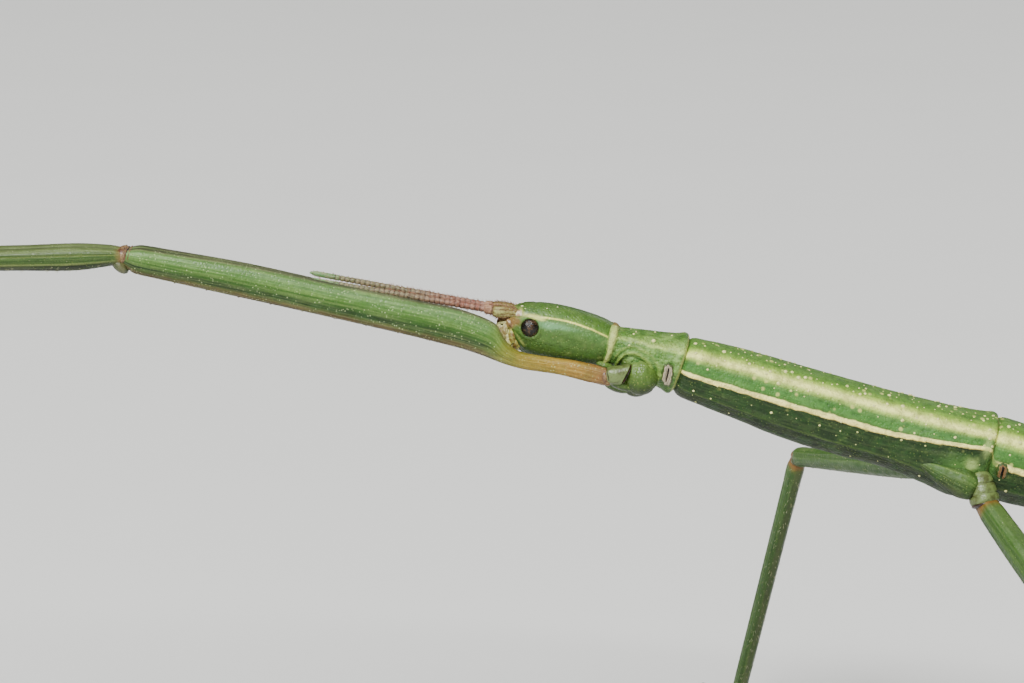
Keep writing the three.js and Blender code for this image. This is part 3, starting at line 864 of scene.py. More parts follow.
@dataclass
class Moulding:
    """One piece under way, in millimetres: its mesh, its finishes and what it stands for."""

    name: str
    slot: str
    finishes: Sequence[Material]
    nodes: Sequence[str] = ()
    floored: bool = False
    hairy: bool = False

    def __post_init__(self) -> None:
        """Starts an empty mesh with the values that finishes may read."""
        self.bm = self.blank()

    @staticmethod
    def blank() -> bmesh.types.BMesh:
        """Starts an empty mesh.

        Returns:
            A mesh that can store along, rise, lane, joint and tint, and a bake map.
        """
        bm = bmesh.new()
        for name in ("along", "rise", "lane", "joint", "tint"):
            bm.verts.layers.float.new(name)
        bm.loops.layers.uv.new("OFBake")
        return bm

    def pour(self, form: bmesh.types.BMesh, finish: int = 0) -> None:
        """Adds a finished form to the piece and lets go of it.

        Args:
            form: the form.
            finish: the number of its finish.
        """
        for face in form.faces:
            face.material_index = finish
            face.smooth = True
        mesh = meshed("form", form)
        self.bm.from_mesh(mesh)
        bpy.data.meshes.remove(mesh)

    def lay(
        self, surface: Surface, stations: Sequence[float], sides: int, finish: int = 0,
        domes: Pair = (0.0, 0.0),
    ) -> None:
        """Lays a surface as a grid rolled up and closed at both ends.

        Args:
            surface: the shape.
            stations: places of the rings along its axis.
            sides: how many faces go round.
            finish: the finish's number.
            domes: how far the ends bulge past the first and last station.
        """
        caps = (0.0, 0.45, 0.78, 0.94)
        before = [(stations[0] - domes[0] * math.sqrt(1 - s * s), s) for s in caps]
        after = [(stations[-1] + domes[1] * math.sqrt(1 - s * s), s) for s in reversed(caps)]
        rings = [*before, *((at, 1.0) for at in stations), *after]
        last = len(rings) - 1
        form = self.blank()
        made = bmesh.ops.create_grid(form, x_segments=sides, y_segments=last, size=0.5)
        layers = form.verts.layers.float
        for vert in made["verts"]:
            along, share = rings[round((vert.co.y + 0.5) * last)]
            turn = round((vert.co.x + 0.5) * sides) % sides / sides
            angle = math.tau * (turn if turn <= 0.5 else turn - 1)
            for name, value in surface.marks(along, angle).items():
                vert[layers[name]] = value
            vert.co = surface.at(along, angle, share=share)
        bmesh.ops.remove_doubles(form, verts=form.verts, dist=1e-5)
        self.pour(form, finish)

    def ball(
        self, centre: Vector, size: Sequence[float], finish: int = 0, turn: Matrix | None = None,
        detail: tuple[int, int] = (20, 14), shape: Callable[[Vector], Vector] | None = None,
        marks: Callable[[Vector], dict[str, float]] | None = None,
    ) -> None:
        """Adds a ball stretched to three half sizes.

        Args:
            centre: its middle.
            size: half sizes along its own axes.
            finish: the finish's number.
            turn: a rotation of its own axes.
            detail: segments round and rings.
            shape: moves the points of the unit ball first.
            marks: values to store, from the points of the unit ball.
        """
        u, v = detail
        form = self.blank()
        made = bmesh.ops.create_uvsphere(form, u_segments=u, v_segments=v, radius=1.0)
        layers = form.verts.layers.float
        place = Matrix.Translation(centre) @ (turn or Matrix.Identity(3)).to_4x4()
        for vert in made["verts"]:
            unit = vert.co.copy()
            for name, value in (marks(unit) if marks else {}).items():
                vert[layers[name]] = value
            unit = shape(unit) if shape else unit
            vert.co = place @ Vector([part * half for part, half in zip(unit, size)])
        self.pour(form, finish)

    def stud(
        self, surface: Surface, along: float, angle: float, size: Triple, finish: int = 0,
        detail: tuple[int, int] = (8, 6),
    ) -> None:
        """Sets a small ball on a surface; its third half size stands out."""
        turn = surface.normal(along, angle).to_track_quat("Z", "Y").to_matrix()
        self.ball(surface.at(along, angle), size, finish, turn, detail)

    def done(self) -> bpy.types.Object:
        """Closes the piece: into the row's frame, faces outward, smooth, riding on the root.

        Returns:
            The finished object.
        """
        bmesh.ops.recalc_face_normals(self.bm, faces=self.bm.faces)
        bmesh.ops.transform(self.bm, matrix=TO_ROW, verts=self.bm.verts)
        for vert in self.bm.verts if self.floored else ():
            vert.co.z = max(vert.co.z, 0.0)
        if not self.hairy:
            self.bm.loops.layers.uv.remove(self.bm.loops.layers.uv["OFBake"])
        mesh = meshed(self.name, self.bm)
        for material in self.finishes:
            mesh.materials.append(material)
        piece = placed(self.name, mesh)
        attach(piece, "root")
        if self.nodes:
            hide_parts(*self.nodes)
        LOG.info("%s: %d faces", self.name, len(mesh.polygons))
        return piece


@dataclass
class Setae:
    """Short stiff hairs on one or more surfaces, as one joined mesh of thin three-sided cones."""

    name: str
    slot: str
    material: Material
    seed: int
    batch: int = 40
    wobble: float = 9.0
    stray: float = 0.14
    spread: Pair = (0.7, 1.25)
    rows_in_map: int = 8

    def __post_init__(self) -> None:
        """Starts the joined mesh and its bake map."""
        self.body = Moulding(self.name, self.slot, [self.material], hairy=True)
        self.dice = random.Random(self.seed)
        self.bands = 0

    def grow(
        self, surface: Surface, reach: Pair, arc: Pair, count: int,
        length: float, radius: float = 0.011, lean: float = 40.0,
    ) -> None:
        """Grows hairs on part of a surface.

        Args:
            surface: what they stand on.
            reach: first and last place along it.
            arc: lowest and highest angle from the top, in degrees, on both sides.
            count: how many.
            length: their mean length.
            radius: their radius at the root.
            lean: how far they lean towards the surface's end, in degrees.
        """
        band = self.bands
        self.bands += 1
        form = Moulding.blank()
        patch = form.loops.layers.uv["OFBake"]
        for number in range(count):
            if number % self.batch == self.batch - 1:
                self.body.pour(form)
                form = Moulding.blank()
                patch = form.loops.layers.uv["OFBake"]
            along = self.dice.uniform(*reach)
            degrees = self.dice.uniform(*arc) * self.dice.choice((-1, 1))
            angle = math.radians(degrees)
            normal = surface.normal(along, angle)
            way = (surface.at(along + 0.05, angle) - surface.at(along, angle)).normalized()
            tilt = math.radians(lean + self.dice.gauss(0, self.wobble))
            aim = normal * math.cos(tilt) + way * math.sin(tilt)
            aim += normal.cross(way) * self.dice.gauss(0, self.stray)
            tall = length * self.dice.uniform(*self.spread)
            turn = aim.to_track_quat("Z", "Y").to_matrix().to_4x4()
            root = surface.at(along, angle, lift=-0.01)
            place = Matrix.Translation(root) @ turn @ Matrix.Translation((0, 0, tall / 2))
            made = bmesh.ops.create_cone(
                form, cap_ends=True, segments=3, radius1=radius, radius2=radius * 0.14, depth=tall,
                matrix=place,
            )
            start, end = reach
            u0 = 0.02 + 0.93 * (along - start) / max(end - start, 1e-6)
            v0 = (band + 0.05 + 0.88 * (degrees + 180) / 360) / self.rows_in_map
            for face in {f for vert in made["verts"] for f in vert.link_faces}:
                for index, loop in enumerate(face.loops):
                    high = 0.003 if (loop.vert.co - root).dot(aim) > tall / 2 else 0.0
                    loop[patch].uv = (u0 + 0.0015 * (index % 3), v0 + high)
        self.body.pour(form)

    def done(self) -> bpy.types.Object:
        """Closes the piece."""
        return self.body.done()


# ---------------- trunk


# How far a plate's outline keeps off its borders, and how far forward of the collar the neck starts.
OFF_BORDER = 0.04
NECK_REACH = 0.68


def strung(name: str, rows: Rows) -> list[Row]:
    """A plate's outline rows, by distance behind the face, kept a little off the plate's borders."""
    start, length = next((Trunk.start(plate), size) for plate, size, _, _ in PLATES if plate == name)
    return [(start + min(max(row[0], OFF_BORDER), length - OFF_BORDER), *row[1:]) for row in rows]


class Strung(Surface):
    """A surface laid round the trunk's centreline."""

    def pose(self, along: float) -> Pose:
        """The centreline."""
        return Trunk.at(along)


@dataclass(frozen=True)
class Spot:
    """A soft oval place on a skin: its middle and half size along and across it, and its strength."""

    along: float
    long: float
    across: float
    tall: float
    weight: float = 1.0

    def on(self, along: float, across: float) -> float:
        """How much of the spot a place is in."""
        return self.weight * hump(along, self.along, self.long) * hump(across, self.across, self.tall)


@dataclass
class TrunkSkin(Strung):
    """The one skin of neck, thorax and abdomen, with keels, grooves and rims in it."""

    squareness: float = 2.3
    groove: float = 0.15
    rim: float = 0.07
    side_keel: float = 0.12
    low_keel: float = 0.08
    arch_end: float = 4.1
    arch_middle: Pair = (1.45, -0.85)
    arch_reach: Triple = (0.72, 1.25, 0.95)
    shoulder: Spot = Spot(-1.7, 1.1, 124, 20, 0.26)
    membranes: tuple[Spot, ...] = (Spot(-1.3, 1.35, 102, 11), Spot(0.05, 0.42, 90, 13))
    # The folds are only pale patches of colour in front of each hip border: painted highlights.
    folds: tuple[Spot, ...] = (Spot(-1.0, 0.34, 96, 6), Spot(-0.42, 0.3, 72, 14))

    def __post_init__(self) -> None:
        """Strings the outlines of the plates into one table."""
        self.collar = Trunk.start("prothorax")
        self.waist = Trunk.start("median_segment")
        self.tail = self.waist + ABDOMEN_OUTLINE[-1][0]
        neck = [(self.collar - NECK_REACH + row[0], *row[1:]) for row in NECK_OUTLINE]
        abdomen = [(self.waist + max(row[0], OFF_BORDER), *row[1:]) for row in ABDOMEN_OUTLINE]
        self.rows: list[Row] = [
            *neck,
            *strung("prothorax", PROTHORAX_OUTLINE),
            *strung("mesothorax", MESOTHORAX_OUTLINE),
            *strung("metathorax", METATHORAX_OUTLINE),
            *abdomen,
        ]
        self.borders = [Trunk.start(name) for name, *_ in PLATES[2:]]
        self.hips = self.borders[1:3]
        self.cache: dict[float, tuple[list[float], float]] = {}

    def band(self, along: float) -> tuple[list[float], float]:
        """What the markings and folds of one ring hang on.

        Args:
            along: distance behind the face.

        Returns:
            Its marking angles, and the fold of the nearest border.
        """
        if along not in self.cache:
            fold = 0.0
            for border in self.borders:
                thorax = border < self.waist - 0.1
                deep = 1.0 if thorax else 0.55
                fold -= self.groove * deep * hump(along, border, 0.1 if thorax else 0.14)
                fold += self.rim * deep * hump(along, border - 0.32, 0.22)
            self.cache[along] = table_at(LANES, along - self.collar), fold
        return self.cache[along]

    def values(self, along: float) -> Sequence[float]:
        """Half width, height over and depth under the centreline."""
        return table_at(self.rows, along)

    def relief(self, along: float, angle: float) -> float:
        """Keels, border folds, the arch over the fore coxa and faint wrinkles.

        Args:
            along: distance behind the face.
            angle: the way round from the top, in radians.

        Returns:
            Height to add there.
        """
        (pale, side, low), high = self.band(along)
        turned = abs(math.degrees(angle))
        behind = along - self.collar
        shaft = smooth(behind, 4.1, 4.7)
        thorax = smooth(behind, 0.5, 1.2) * (1 - smooth(behind, 33.5, 35))
        thorax *= 1 - 0.9 * max(hump(along, border, 0.45) for border in self.hips)
        high += (0.3 + 0.7 * shaft) * thorax * self.side_keel * hump(turned, side, 4.2)
        high += thorax * shaft * self.low_keel * hump(turned, low, 5)
        high += 0.03 * thorax * hump(turned, pale, 6) + 0.04 * hump(turned, 0, 3)
        high += (1 - thorax) * smooth(behind, 34, 36) * 0.05 * hump(turned, side, 6)
        if behind < self.arch_end:
            crest, furrow = self.arches(behind, self.section(along, angle)[1], turned)
            high += 0.14 * crest - 0.12 * furrow
        high += sum(self.shoulder.on(along - border, turned) for border in self.hips)
        ripple = noise.noise(Vector((along * 1.1, angle * 2.2, 0.0)))
        return high + 0.02 * ripple * smooth(behind, 0.3, 1.0)

    def marks(self, along: float, angle: float) -> dict[str, float]:
        """Lanes from 0 on the back to 4 on the belly, the distance behind the face, rims, membranes and
        painted highlights.

        Args:
            along: distance behind the face.
            angle: the way round from the top, in radians.

        Returns:
            The stored values.
        """
        lanes = [0.0, *self.band(along)[0], 180.0]
        turned = abs(math.degrees(angle))
        lane = max(number for number in range(4) if number == 0 or turned >= lanes[number])
        share = (turned - lanes[lane]) / (lanes[lane + 1] - lanes[lane])
        edge = max(0.8 * hump(along, border - 0.1, 0.07) for border in self.borders)
        edge = max(edge, hump(along, self.collar + 0.13, 0.17))
        hips = [along - border for border in self.hips]
        membrane = max(spot.on(hip, turned) for hip in hips for spot in self.membranes)
        membrane = max(membrane, hump(along, self.collar + 0.1, 0.22) * (1 - smooth(turned, 10, 26)))
        # Arch crests: the pronotum's finish paints them paler, a painted highlight.
        crest, _ = self.arches(along - self.collar, self.section(along, angle)[1], turned)
        # The pale patches by the hips: painted highlights.
        crest = max(crest, *(spot.on(hip, turned) for hip in hips for spot in self.folds))
        return {"lane": lane + share, "along": along, "joint": edge, "rise": crest, "tint": membrane}

    def arches(self, behind: float, up: float, turned: float) -> Pair:
        """The two folds that arch over the fore coxa.

        Args:
            behind: distance behind the collar.
            up: height across the plate.
            turned: degrees from the top.

        Returns:
            How much of a crest and how much of a furrow a place is, from 0 to 1.
        """
        if not 0.3 < behind < 3.4:
            return 0.0, 0.0
        middle, high = self.arch_middle
        ahead, back, tall = self.arch_reach
        arch = math.hypot((behind - middle) / (ahead if behind < middle else back), (up - high) / tall)
        over = smooth(up, -1.3, -0.9) * smooth(behind, 0.4, 0.6) * smooth(turned, 40, 60)
        crest = hump(arch, 1.0, 0.1) + 0.6 * hump(arch, 1.34, 0.1)
        furrow = hump(arch, 0.78, 0.1) + 0.6 * hump(arch, 1.17, 0.07)
        return over * crest, over * furrow

    def stations(self) -> list[float]:
        """Places the rings: close together on neck and thorax, and at the borders.

        Returns:
            Their distances behind the face.
        """
        places = set(spaced(self.collar - 0.6, self.collar + 4.2, 0.07))
        places |= set(spaced(self.collar + 4.2, self.waist, 0.14))
        places |= set(spaced(self.waist, self.tail - 0.01, 0.24))
        for border in [self.collar, *self.borders]:
            places |= {round(border + step * 0.045, 5) for step in range(-6, 7)}
        return sorted(places)


TRUNK_FINISH = Cuticle(
    name="trunk_cuticle", mark="lane", scale=0.25,
    stripes=(
        (0.0, (108, 146, 82)), (0.12, (108, 148, 80)), (0.165, (138, 171, 90)), (0.2, (192, 208, 126)),
        (0.235, (248, 247, 175)), (0.26, (242, 243, 169)), (0.3, (180, 201, 124)),
        (0.345, (112, 154, 94)), (0.38, (94, 144, 86)), (0.44, (98, 148, 88)), (0.469, (92, 132, 68)),
        # From 0.518 on, below the side keel: a painted shadow line right under the keel, then painted shade
        # over the flank's own darker green, deepest towards the belly.
        (0.478, (255, 247, 182)), (0.509, (252, 238, 164)), (0.518, (22, 38, 18)), (0.53, (40, 74, 34)),
        (0.6, (44, 80, 37)), (0.68, (37, 69, 31)), (0.735, (42, 76, 36)), (0.752, (92, 116, 74)),
        (0.77, (36, 66, 30)), (0.86, (27, 52, 23)), (1.0, (40, 68, 33)),
    ),
    wander=0.034, clouds=(62, 108, 56), clouding=0.42, dotting=0.22, blotches=0.7, mottle=0.42, pits=0.3,
    streaks=(30.0, 0.5), streaking=0.12, grain=0.06, rough=0.58,
    # rise paints the pale patches in front of the hips: painted highlights.
    patches=(("joint", 0.5, (184, 192, 132)), ("tint", 0.9, (92, 130, 76)), ("rise", 0.6, (178, 196, 142))),
)
PRONOTUM_FINISH = Cuticle(
    name="pronotum_cuticle", mark="lane", scale=0.25,
    stripes=(
        (0.0, (100, 142, 72)), (0.12, (108, 150, 78)), (0.19, (128, 164, 92)), (0.24, (186, 206, 134)),
        (0.275, (196, 216, 142)), (0.31, (150, 184, 116)), (0.38, (110, 154, 88)), (0.55, (98, 146, 80)),
        (0.75, (82, 126, 62)), (1.0, (84, 120, 60)),
    ),
    wander=0.13, clouds=(84, 130, 72), clouding=0.45, streaks=(11.0, 1.3), streaking=0.62, grain=0.085,
    mottle=0.5, pits=0.4, rough=0.5,
    patches=(
        # rise paints the crests of the arches over the fore coxa paler: a painted highlight.
        ("joint", 0.8, (198, 204, 146)), ("rise", 0.45, (170, 186, 116)), ("tint", 0.75, (132, 88, 60)),
    ),
)
ABDOMEN_FINISH = Cuticle(
    name="abdomen_cuticle", mark="lane", scale=0.25,
    stripes=(
        (0.0, (104, 150, 73)), (0.17, (116, 160, 81)), (0.235, (185, 202, 131)), (0.27, (175, 196, 125)),
        (0.32, (108, 154, 85)), (0.44, (96, 144, 79)), (0.487, (206, 206, 141)), (0.506, (200, 198, 135)),
        (0.52, (60, 96, 46)), (0.7, (73, 116, 56)), (0.86, (83, 125, 60)), (1.0, (108, 144, 79)),
    ),
    wander=0.024, clouding=0.35, blotches=0.25, streaks=(26.0, 0.4),
    patches=(("joint", 0.5, (182, 184, 128)),),
)
HEAD_FINISH = Cuticle(
    name="head_cuticle", mark="lane", scale=0.25,
    stripes=(
        (0.0, (92, 124, 72)), (0.14, (100, 132, 78)), (0.21, (110, 142, 84)), (0.234, (126, 156, 94)),
        (0.245, (236, 234, 150)), (0.254, (236, 232, 150)), (0.266, (120, 152, 106)),
        (0.32, (110, 147, 102)), (0.45, (97, 128, 76)), (0.6, (86, 118, 62)), (0.74, (72, 100, 50)),
        (0.86, (60, 86, 42)), (1.0, (66, 88, 48)),
    ),
    lengthwise=((0.0, (168, 132, 98)), (0.08, (160, 150, 106)), (0.16, (122, 152, 88))),
    keep=(0.08, 0.17),
    patches=(
        # tint paints a bluish highlight behind the eye.
        ("joint", 0.85, (218, 218, 152)), ("rise", 0.62, (156, 112, 88)), ("tint", 0.6, (140, 184, 152)),
    ),
    wander=0.01, streaks=(10.0, 1.2), streaking=0.1, clouding=0.34, dotting=0.24, rough=0.44, grain=0.045,
    mottle=0.42, pits=0.2,
)
FORE_FEMUR_FINISH = Cuticle(
    name="fore_femur_cuticle", mark="rise",
    stripes=(
        (0.0, (104, 84, 68)), (0.1, (114, 98, 78)), (0.16, (104, 100, 72)), (0.2, (80, 92, 50)),
        (0.24, (48, 76, 34)), (0.34, (46, 76, 34)), (0.4, (70, 106, 52)), (0.46, (78, 116, 58)),
        (0.52, (84, 122, 64)), (0.58, (98, 136, 78)), (0.7, (110, 148, 96)), (0.86, (114, 150, 102)),
        (0.955, (116, 146, 104)), (0.98, (118, 126, 106)), (1.0, (96, 98, 84)),
    ),
    lengthwise=(
        (0.0, (140, 104, 84)), (0.02, (164, 124, 88)), (0.05, (172, 140, 82)), (0.11, (172, 146, 76)),
        (0.18, (158, 146, 72)), (0.24, (138, 150, 78)),
    ),
    keep=(0.185, 0.26), dots=(206, 218, 178), wander=0.03, streaks=(16.0, 7.0), streaking=0.34,
    clouding=0.25, dotting=0.45, grain=0.022,
)
LEG_FINISH = Cuticle(
    name="leg_cuticle", mark="rise",
    stripes=(
        (0.0, (86, 103, 71)), (0.08, (69, 103, 58)), (0.25, (62, 98, 52)), (0.42, (78, 114, 66)),
        (0.5, (92, 123, 79)), (0.6, (76, 110, 62)), (0.85, (86, 119, 74)), (1.0, (98, 125, 85)),
    ),
    lengthwise=(
        (0.0, (112, 80, 58)), (0.012, (128, 90, 60)), (0.026, (140, 110, 70)), (0.042, (112, 118, 70)),
    ),
    keep=(0.03, 0.056), wander=0.04, streaks=(14.0, 7.0), streaking=0.16, clouding=0.15, dotting=0.2,
    grain=0.02,
)
SHIN_FINISH = Cuticle(
    name="tibia_cuticle", mark="rise",
    stripes=(
        # Dark from 0.04 to 0.27 of the height: painted shade on the tibia's underside.
        (0.0, (82, 90, 66)), (0.04, (36, 50, 25)), (0.27, (43, 58, 30)), (0.33, (126, 138, 98)),
        (0.38, (77, 105, 54)), (0.5, (59, 92, 39)), (0.62, (71, 103, 50)), (0.68, (123, 139, 92)),
        (0.73, (60, 88, 41)), (0.8, (96, 118, 78)), (0.88, (124, 140, 108)), (1.0, (114, 128, 98)),
    ),
    lengthwise=((0.0, (124, 92, 72)), (0.008, (136, 114, 84)), (0.02, (128, 138, 90))),
    keep=(0.006, 0.022), wander=0.035, streaks=(14.0, 7.0), streaking=0.22, clouding=0.12, dotting=0.18,
    grain=0.02,
)
# Dark at the bottom of the coxa and light at its top: painted shade and painted light.
COXA_FINISH = Cuticle(
    name="coxa_cuticle", mark="rise",
    stripes=(
        (0.0, (48, 62, 28)), (0.16, (62, 82, 38)), (0.4, (92, 122, 66)), (0.8, (114, 143, 88)),
        (1.0, (134, 158, 108)),
    ),
    wander=0.2, streaks=(5.0, 3.0), streaking=0.12, clouding=0.3, clouds=(78, 102, 46),
    dots=(206, 204, 140), dotting=0.3, rough=0.38,
)

HIP_FINISH = Cuticle(
    name="hip_cuticle", mark="rise",
    stripes=(
        (0.0, (48, 68, 34)), (0.3, (54, 80, 38)), (0.55, (70, 100, 48)), (0.74, (82, 114, 58)),
        (0.85, (104, 132, 80)), (0.92, (80, 112, 60)), (1.0, (70, 102, 52)),
    ),
    wander=0.06, streaks=(12.0, 2.0), streaking=0.2, rough=0.56,
)


@dataclass
class TrunkWork:
    """Builds the trunk's skin, its granules and its breathing holes."""

    skin: TrunkSkin = field(default_factory=TrunkSkin)
    sides: int = 88
    granules: int = 560
    seed: int = 41

    def build(self) -> None:
        """Makes the three pieces."""
        plates = [name for name, *_ in PLATES[1:]]
        finishes = [PRONOTUM_FINISH.material(), TRUNK_FINISH.material(), ABDOMEN_FINISH.material()]
        body = Moulding("trunk_skin", "thorax", finishes, plates)
        body.lay(self.skin, self.skin.stations(), self.sides, domes=(0.0, 0.35))
        along = body.bm.verts.layers.float["along"]
        for face in body.bm.faces:
            middle = sum(vert[along] for vert in face.verts) / len(face.verts)
            face.material_index = (middle > self.skin.borders[0]) + (middle > self.skin.waist)
        body.done()
        self.scatter()
        self.breathing_holes()

    def scatter(self) -> None:
        """Strews pale granules over the back and sides, thinning out towards the belly and tail."""
        dice = random.Random(self.seed)
        finish = Glaze("granule", (226, 222, 176), (200, 206, 150), rough=0.5, scale=6000)
        body = Moulding("granules", "thorax", [finish.material()])
        spots: list[Vector] = []
        while len(spots) < self.granules:
            along = self.skin.collar + 0.6 + 36 * dice.random() ** 1.1
            turned = abs(dice.gauss(0, 48)) if dice.random() < 0.93 else dice.uniform(90, 165)
            behind = along - self.skin.collar
            if turned > 170 or (behind < 4.2 and dice.random() < 0.86):
                continue
            angle = math.radians(turned) * dice.choice((-1, 1))
            size = 0.04 + 0.09 * dice.random() ** 2.4
            size *= 0.75 if turned > 80 else 1.0
            spot = self.skin.at(along, angle)
            if any((spot - other).length < 0.2 + size for other in spots):
                continue
            spots.append(spot)
            body.stud(self.skin, along, angle, (size, size * 0.9, size * 0.55))
        body.done()

    def breathing_holes(self) -> None:
        """Sets the oval lips of the holes that lie on the thorax and along the abdomen."""
        brown = Spiracle("spiracle_brown", ring=(170, 140, 104), fold=(86, 62, 44), gape=0.2)
        body = Moulding("spiracles", "thorax", [Spiracle().material(), brown.material()])
        start = self.skin.collar
        # Distance behind the face, degrees from the top, half length, width and depth, and lean.
        holes = [(start + 3.5, 104.0, 0.36, 0.7, 0.17, -16), (start + 22.25, 95.0, 0.34, 0.58, 0.17, -16)]
        holes += [(Trunk.start(name) + 0.9, 100.0, 0.15, 0.26, 0.07, 0) for name, *_ in PLATES[4:12]]
        for along, degrees, half_long, half_wide, half_deep, lean in holes:
            for side in Side:
                angle = math.radians(degrees) * side.value
                out = self.skin.normal(along, angle)
                ahead = (self.skin.at(along + 0.1, angle) - self.skin.at(along - 0.1, angle)).normalized()
                turn = Matrix((ahead, out.cross(ahead), out)).transposed()
                turn = Matrix.Rotation(math.radians(lean), 3, "Y") @ turn
                body.ball(
                    self.skin.at(along, angle, lift=-0.02), (half_long, half_wide, half_deep),
                    finish=int(along > start + 10), turn=turn, detail=(40, 24), shape=self.lips,
                    marks=self.lip_marks,
                )
        body.done()

    @staticmethod
    def off_slit(unit: Vector) -> float:
        """How far a point of the unit ball lies to the side of the wavy slit."""
        return unit.x - 0.12 * math.sin(unit.y * 2.4)

    @classmethod
    def lips(cls, unit: Vector) -> Vector:
        """Presses a slit into a unit ball and puckers its edge.

        Args:
            unit: a point of the ball.

        Returns:
            Where it goes.
        """
        slit = hump(cls.off_slit(unit), 0.0, 0.16) * (1 - unit.y * unit.y)
        pucker = 1 + 0.07 * math.sin(9 * math.atan2(unit.y, unit.x))
        return Vector((unit.x * pucker, unit.y * pucker, unit.z * (1 - 0.8 * slit)))

    @classmethod
    def lip_marks(cls, unit: Vector) -> dict[str, float]:
        """Distance from the slit, from 0 in it to 1 at the rim."""
        rim = smooth(math.hypot(unit.x, unit.y), 0.55, 0.92)
        return {"rise": max(abs(cls.off_slit(unit)) * 1.3, rim)}


# ---------------- head


@dataclass
class HeadCapsule(Strung):
    """The hard shell of the head, with the sockets of eyes and feelers pressed into it."""

    squareness: float = 2.15
    eye_radius: float = 0.5
    brow: float = 0.07
    antenna: Triple = (0.72, 0.56, 0.8)
    socket: float = 0.36
    seam: float = 0.03
    cheek: Spot = Spot(1.15, 0.5, 128, 16, 0.06)
    pale_spots: tuple[Spot, ...] = (Spot(1.6, 0.6, 0.8, 0.13), Spot(2.1, 0.34, 0.76, 0.1, 0.7))
    rust_spots: tuple[Spot, ...] = (Spot(0.86, 0.26, 0.4, 0.2), Spot(0.55, 0.3, 0.15, 0.3, 0.7))
    # Painted highlights: the pale bluish patches behind the eye, stored in tint.
    cool_spots: tuple[Spot, ...] = (Spot(2.6, 0.6, 0.5, 0.2), Spot(3.6, 0.8, 0.56, 0.14, 0.6))

    def values(self, along: float) -> Sequence[float]:
        """Half width, height over and depth under the centreline."""
        return table_at(HEAD_OUTLINE, along)

    def relief(self, along: float, angle: float) -> float:
        """Rims and pits of the sockets, the ridge behind the eye, the brow seam, a groove low in front and
        the cheek.

        Args:
            along: distance behind the face.
            angle: the way round from the top, in radians.

        Returns:
            Height to add there.
        """
        out, up = self.section(along, angle)
        off = self.eye_distance(along, out, up)
        high = self.brow * hump(off, self.eye_radius + 0.07, 0.09) - 0.2 * (1 - smooth(off, 0.3, 0.5))
        reach = math.dist((along, abs(out), up), self.antenna)
        high += 0.08 * hump(reach, self.socket, 0.1) - 0.12 * (1 - smooth(reach, 0.1, 0.34))
        turned = abs(math.degrees(angle))
        line = table_at(HEAD_STRIPE, along)[0]
        high += 0.035 * smooth(along, 1.6, 2.4) * hump(turned, line, 4) * (1 - smooth(along, 5.2, 5.8))
        high -= self.seam * hump(turned, 0, 2.5) * smooth(along, 2.2, 3.0)
        high -= self.seam * hump(along, 2.1 - 0.35 * math.cos(angle), 0.09) * (1 - smooth(turned, 30, 55))
        high -= 0.04 * hump(along, 0.62, 0.1) * smooth(turned, 88, 105)
        return high + self.cheek.on(along, turned)

    @staticmethod
    def eye_distance(along: float, out: float, up: float) -> float:
        """How far a place in the section lies from the eye's middle; far off on the crown."""
        eye_along, _, eye_up = EYE_CENTRE
        return math.hypot(along - eye_along - EYE_SET_BACK, up - eye_up) if abs(out) > 0.45 else 9.0

    def marks(self, along: float, angle: float) -> dict[str, float]:
        """Lanes, 0 on the crown, 1 on the pale line, 4 at the throat; length's share; patches and a painted
        highlight.

        Args:
            along: distance behind the face.
            angle: the way round from the top, in radians.

        Returns:
            The stored values.
        """
        line = table_at(HEAD_STRIPE, along)[0]
        turned = abs(math.degrees(angle))
        fade = 1 - smooth(along, 1.5, 2.2)
        lane = turned / line if turned < line else 1 + 3 * (turned - line) / (180 - line)
        out, up = self.section(along, angle)
        pale, rust, sheen = (
            sum(spot.on(along, up) for spot in spots)
            for spots in (self.pale_spots, self.rust_spots, self.cool_spots)
        )
        socket = 0.4 * hump(math.dist((along, abs(out), up), (1.0, 0.62, 0.84)), 0.0, 0.2)
        share = min(1.0, max(0.0, ((along - 0.88) * 0.67 - (up + 0.2) * 0.66) / 0.884))
        gena = hump(math.hypot(along - 0.88 - 0.67 * share, up + 0.2 + 0.66 * share), 0.0, 0.09)
        return {
            "lane": lane + 0.3 * fade * (1 if lane > 1 else -1),
            "along": along / PLATES[0][1],
            "joint": min(1.0, 0.95 * pale + socket + 0.34 * gena),
            "rise": rust,
            "tint": sheen,
        }


# How the head's own axes are turned.
HEAD_TURN = Matrix.Rotation(math.radians(PLATES[0][2]), 3, "Y")


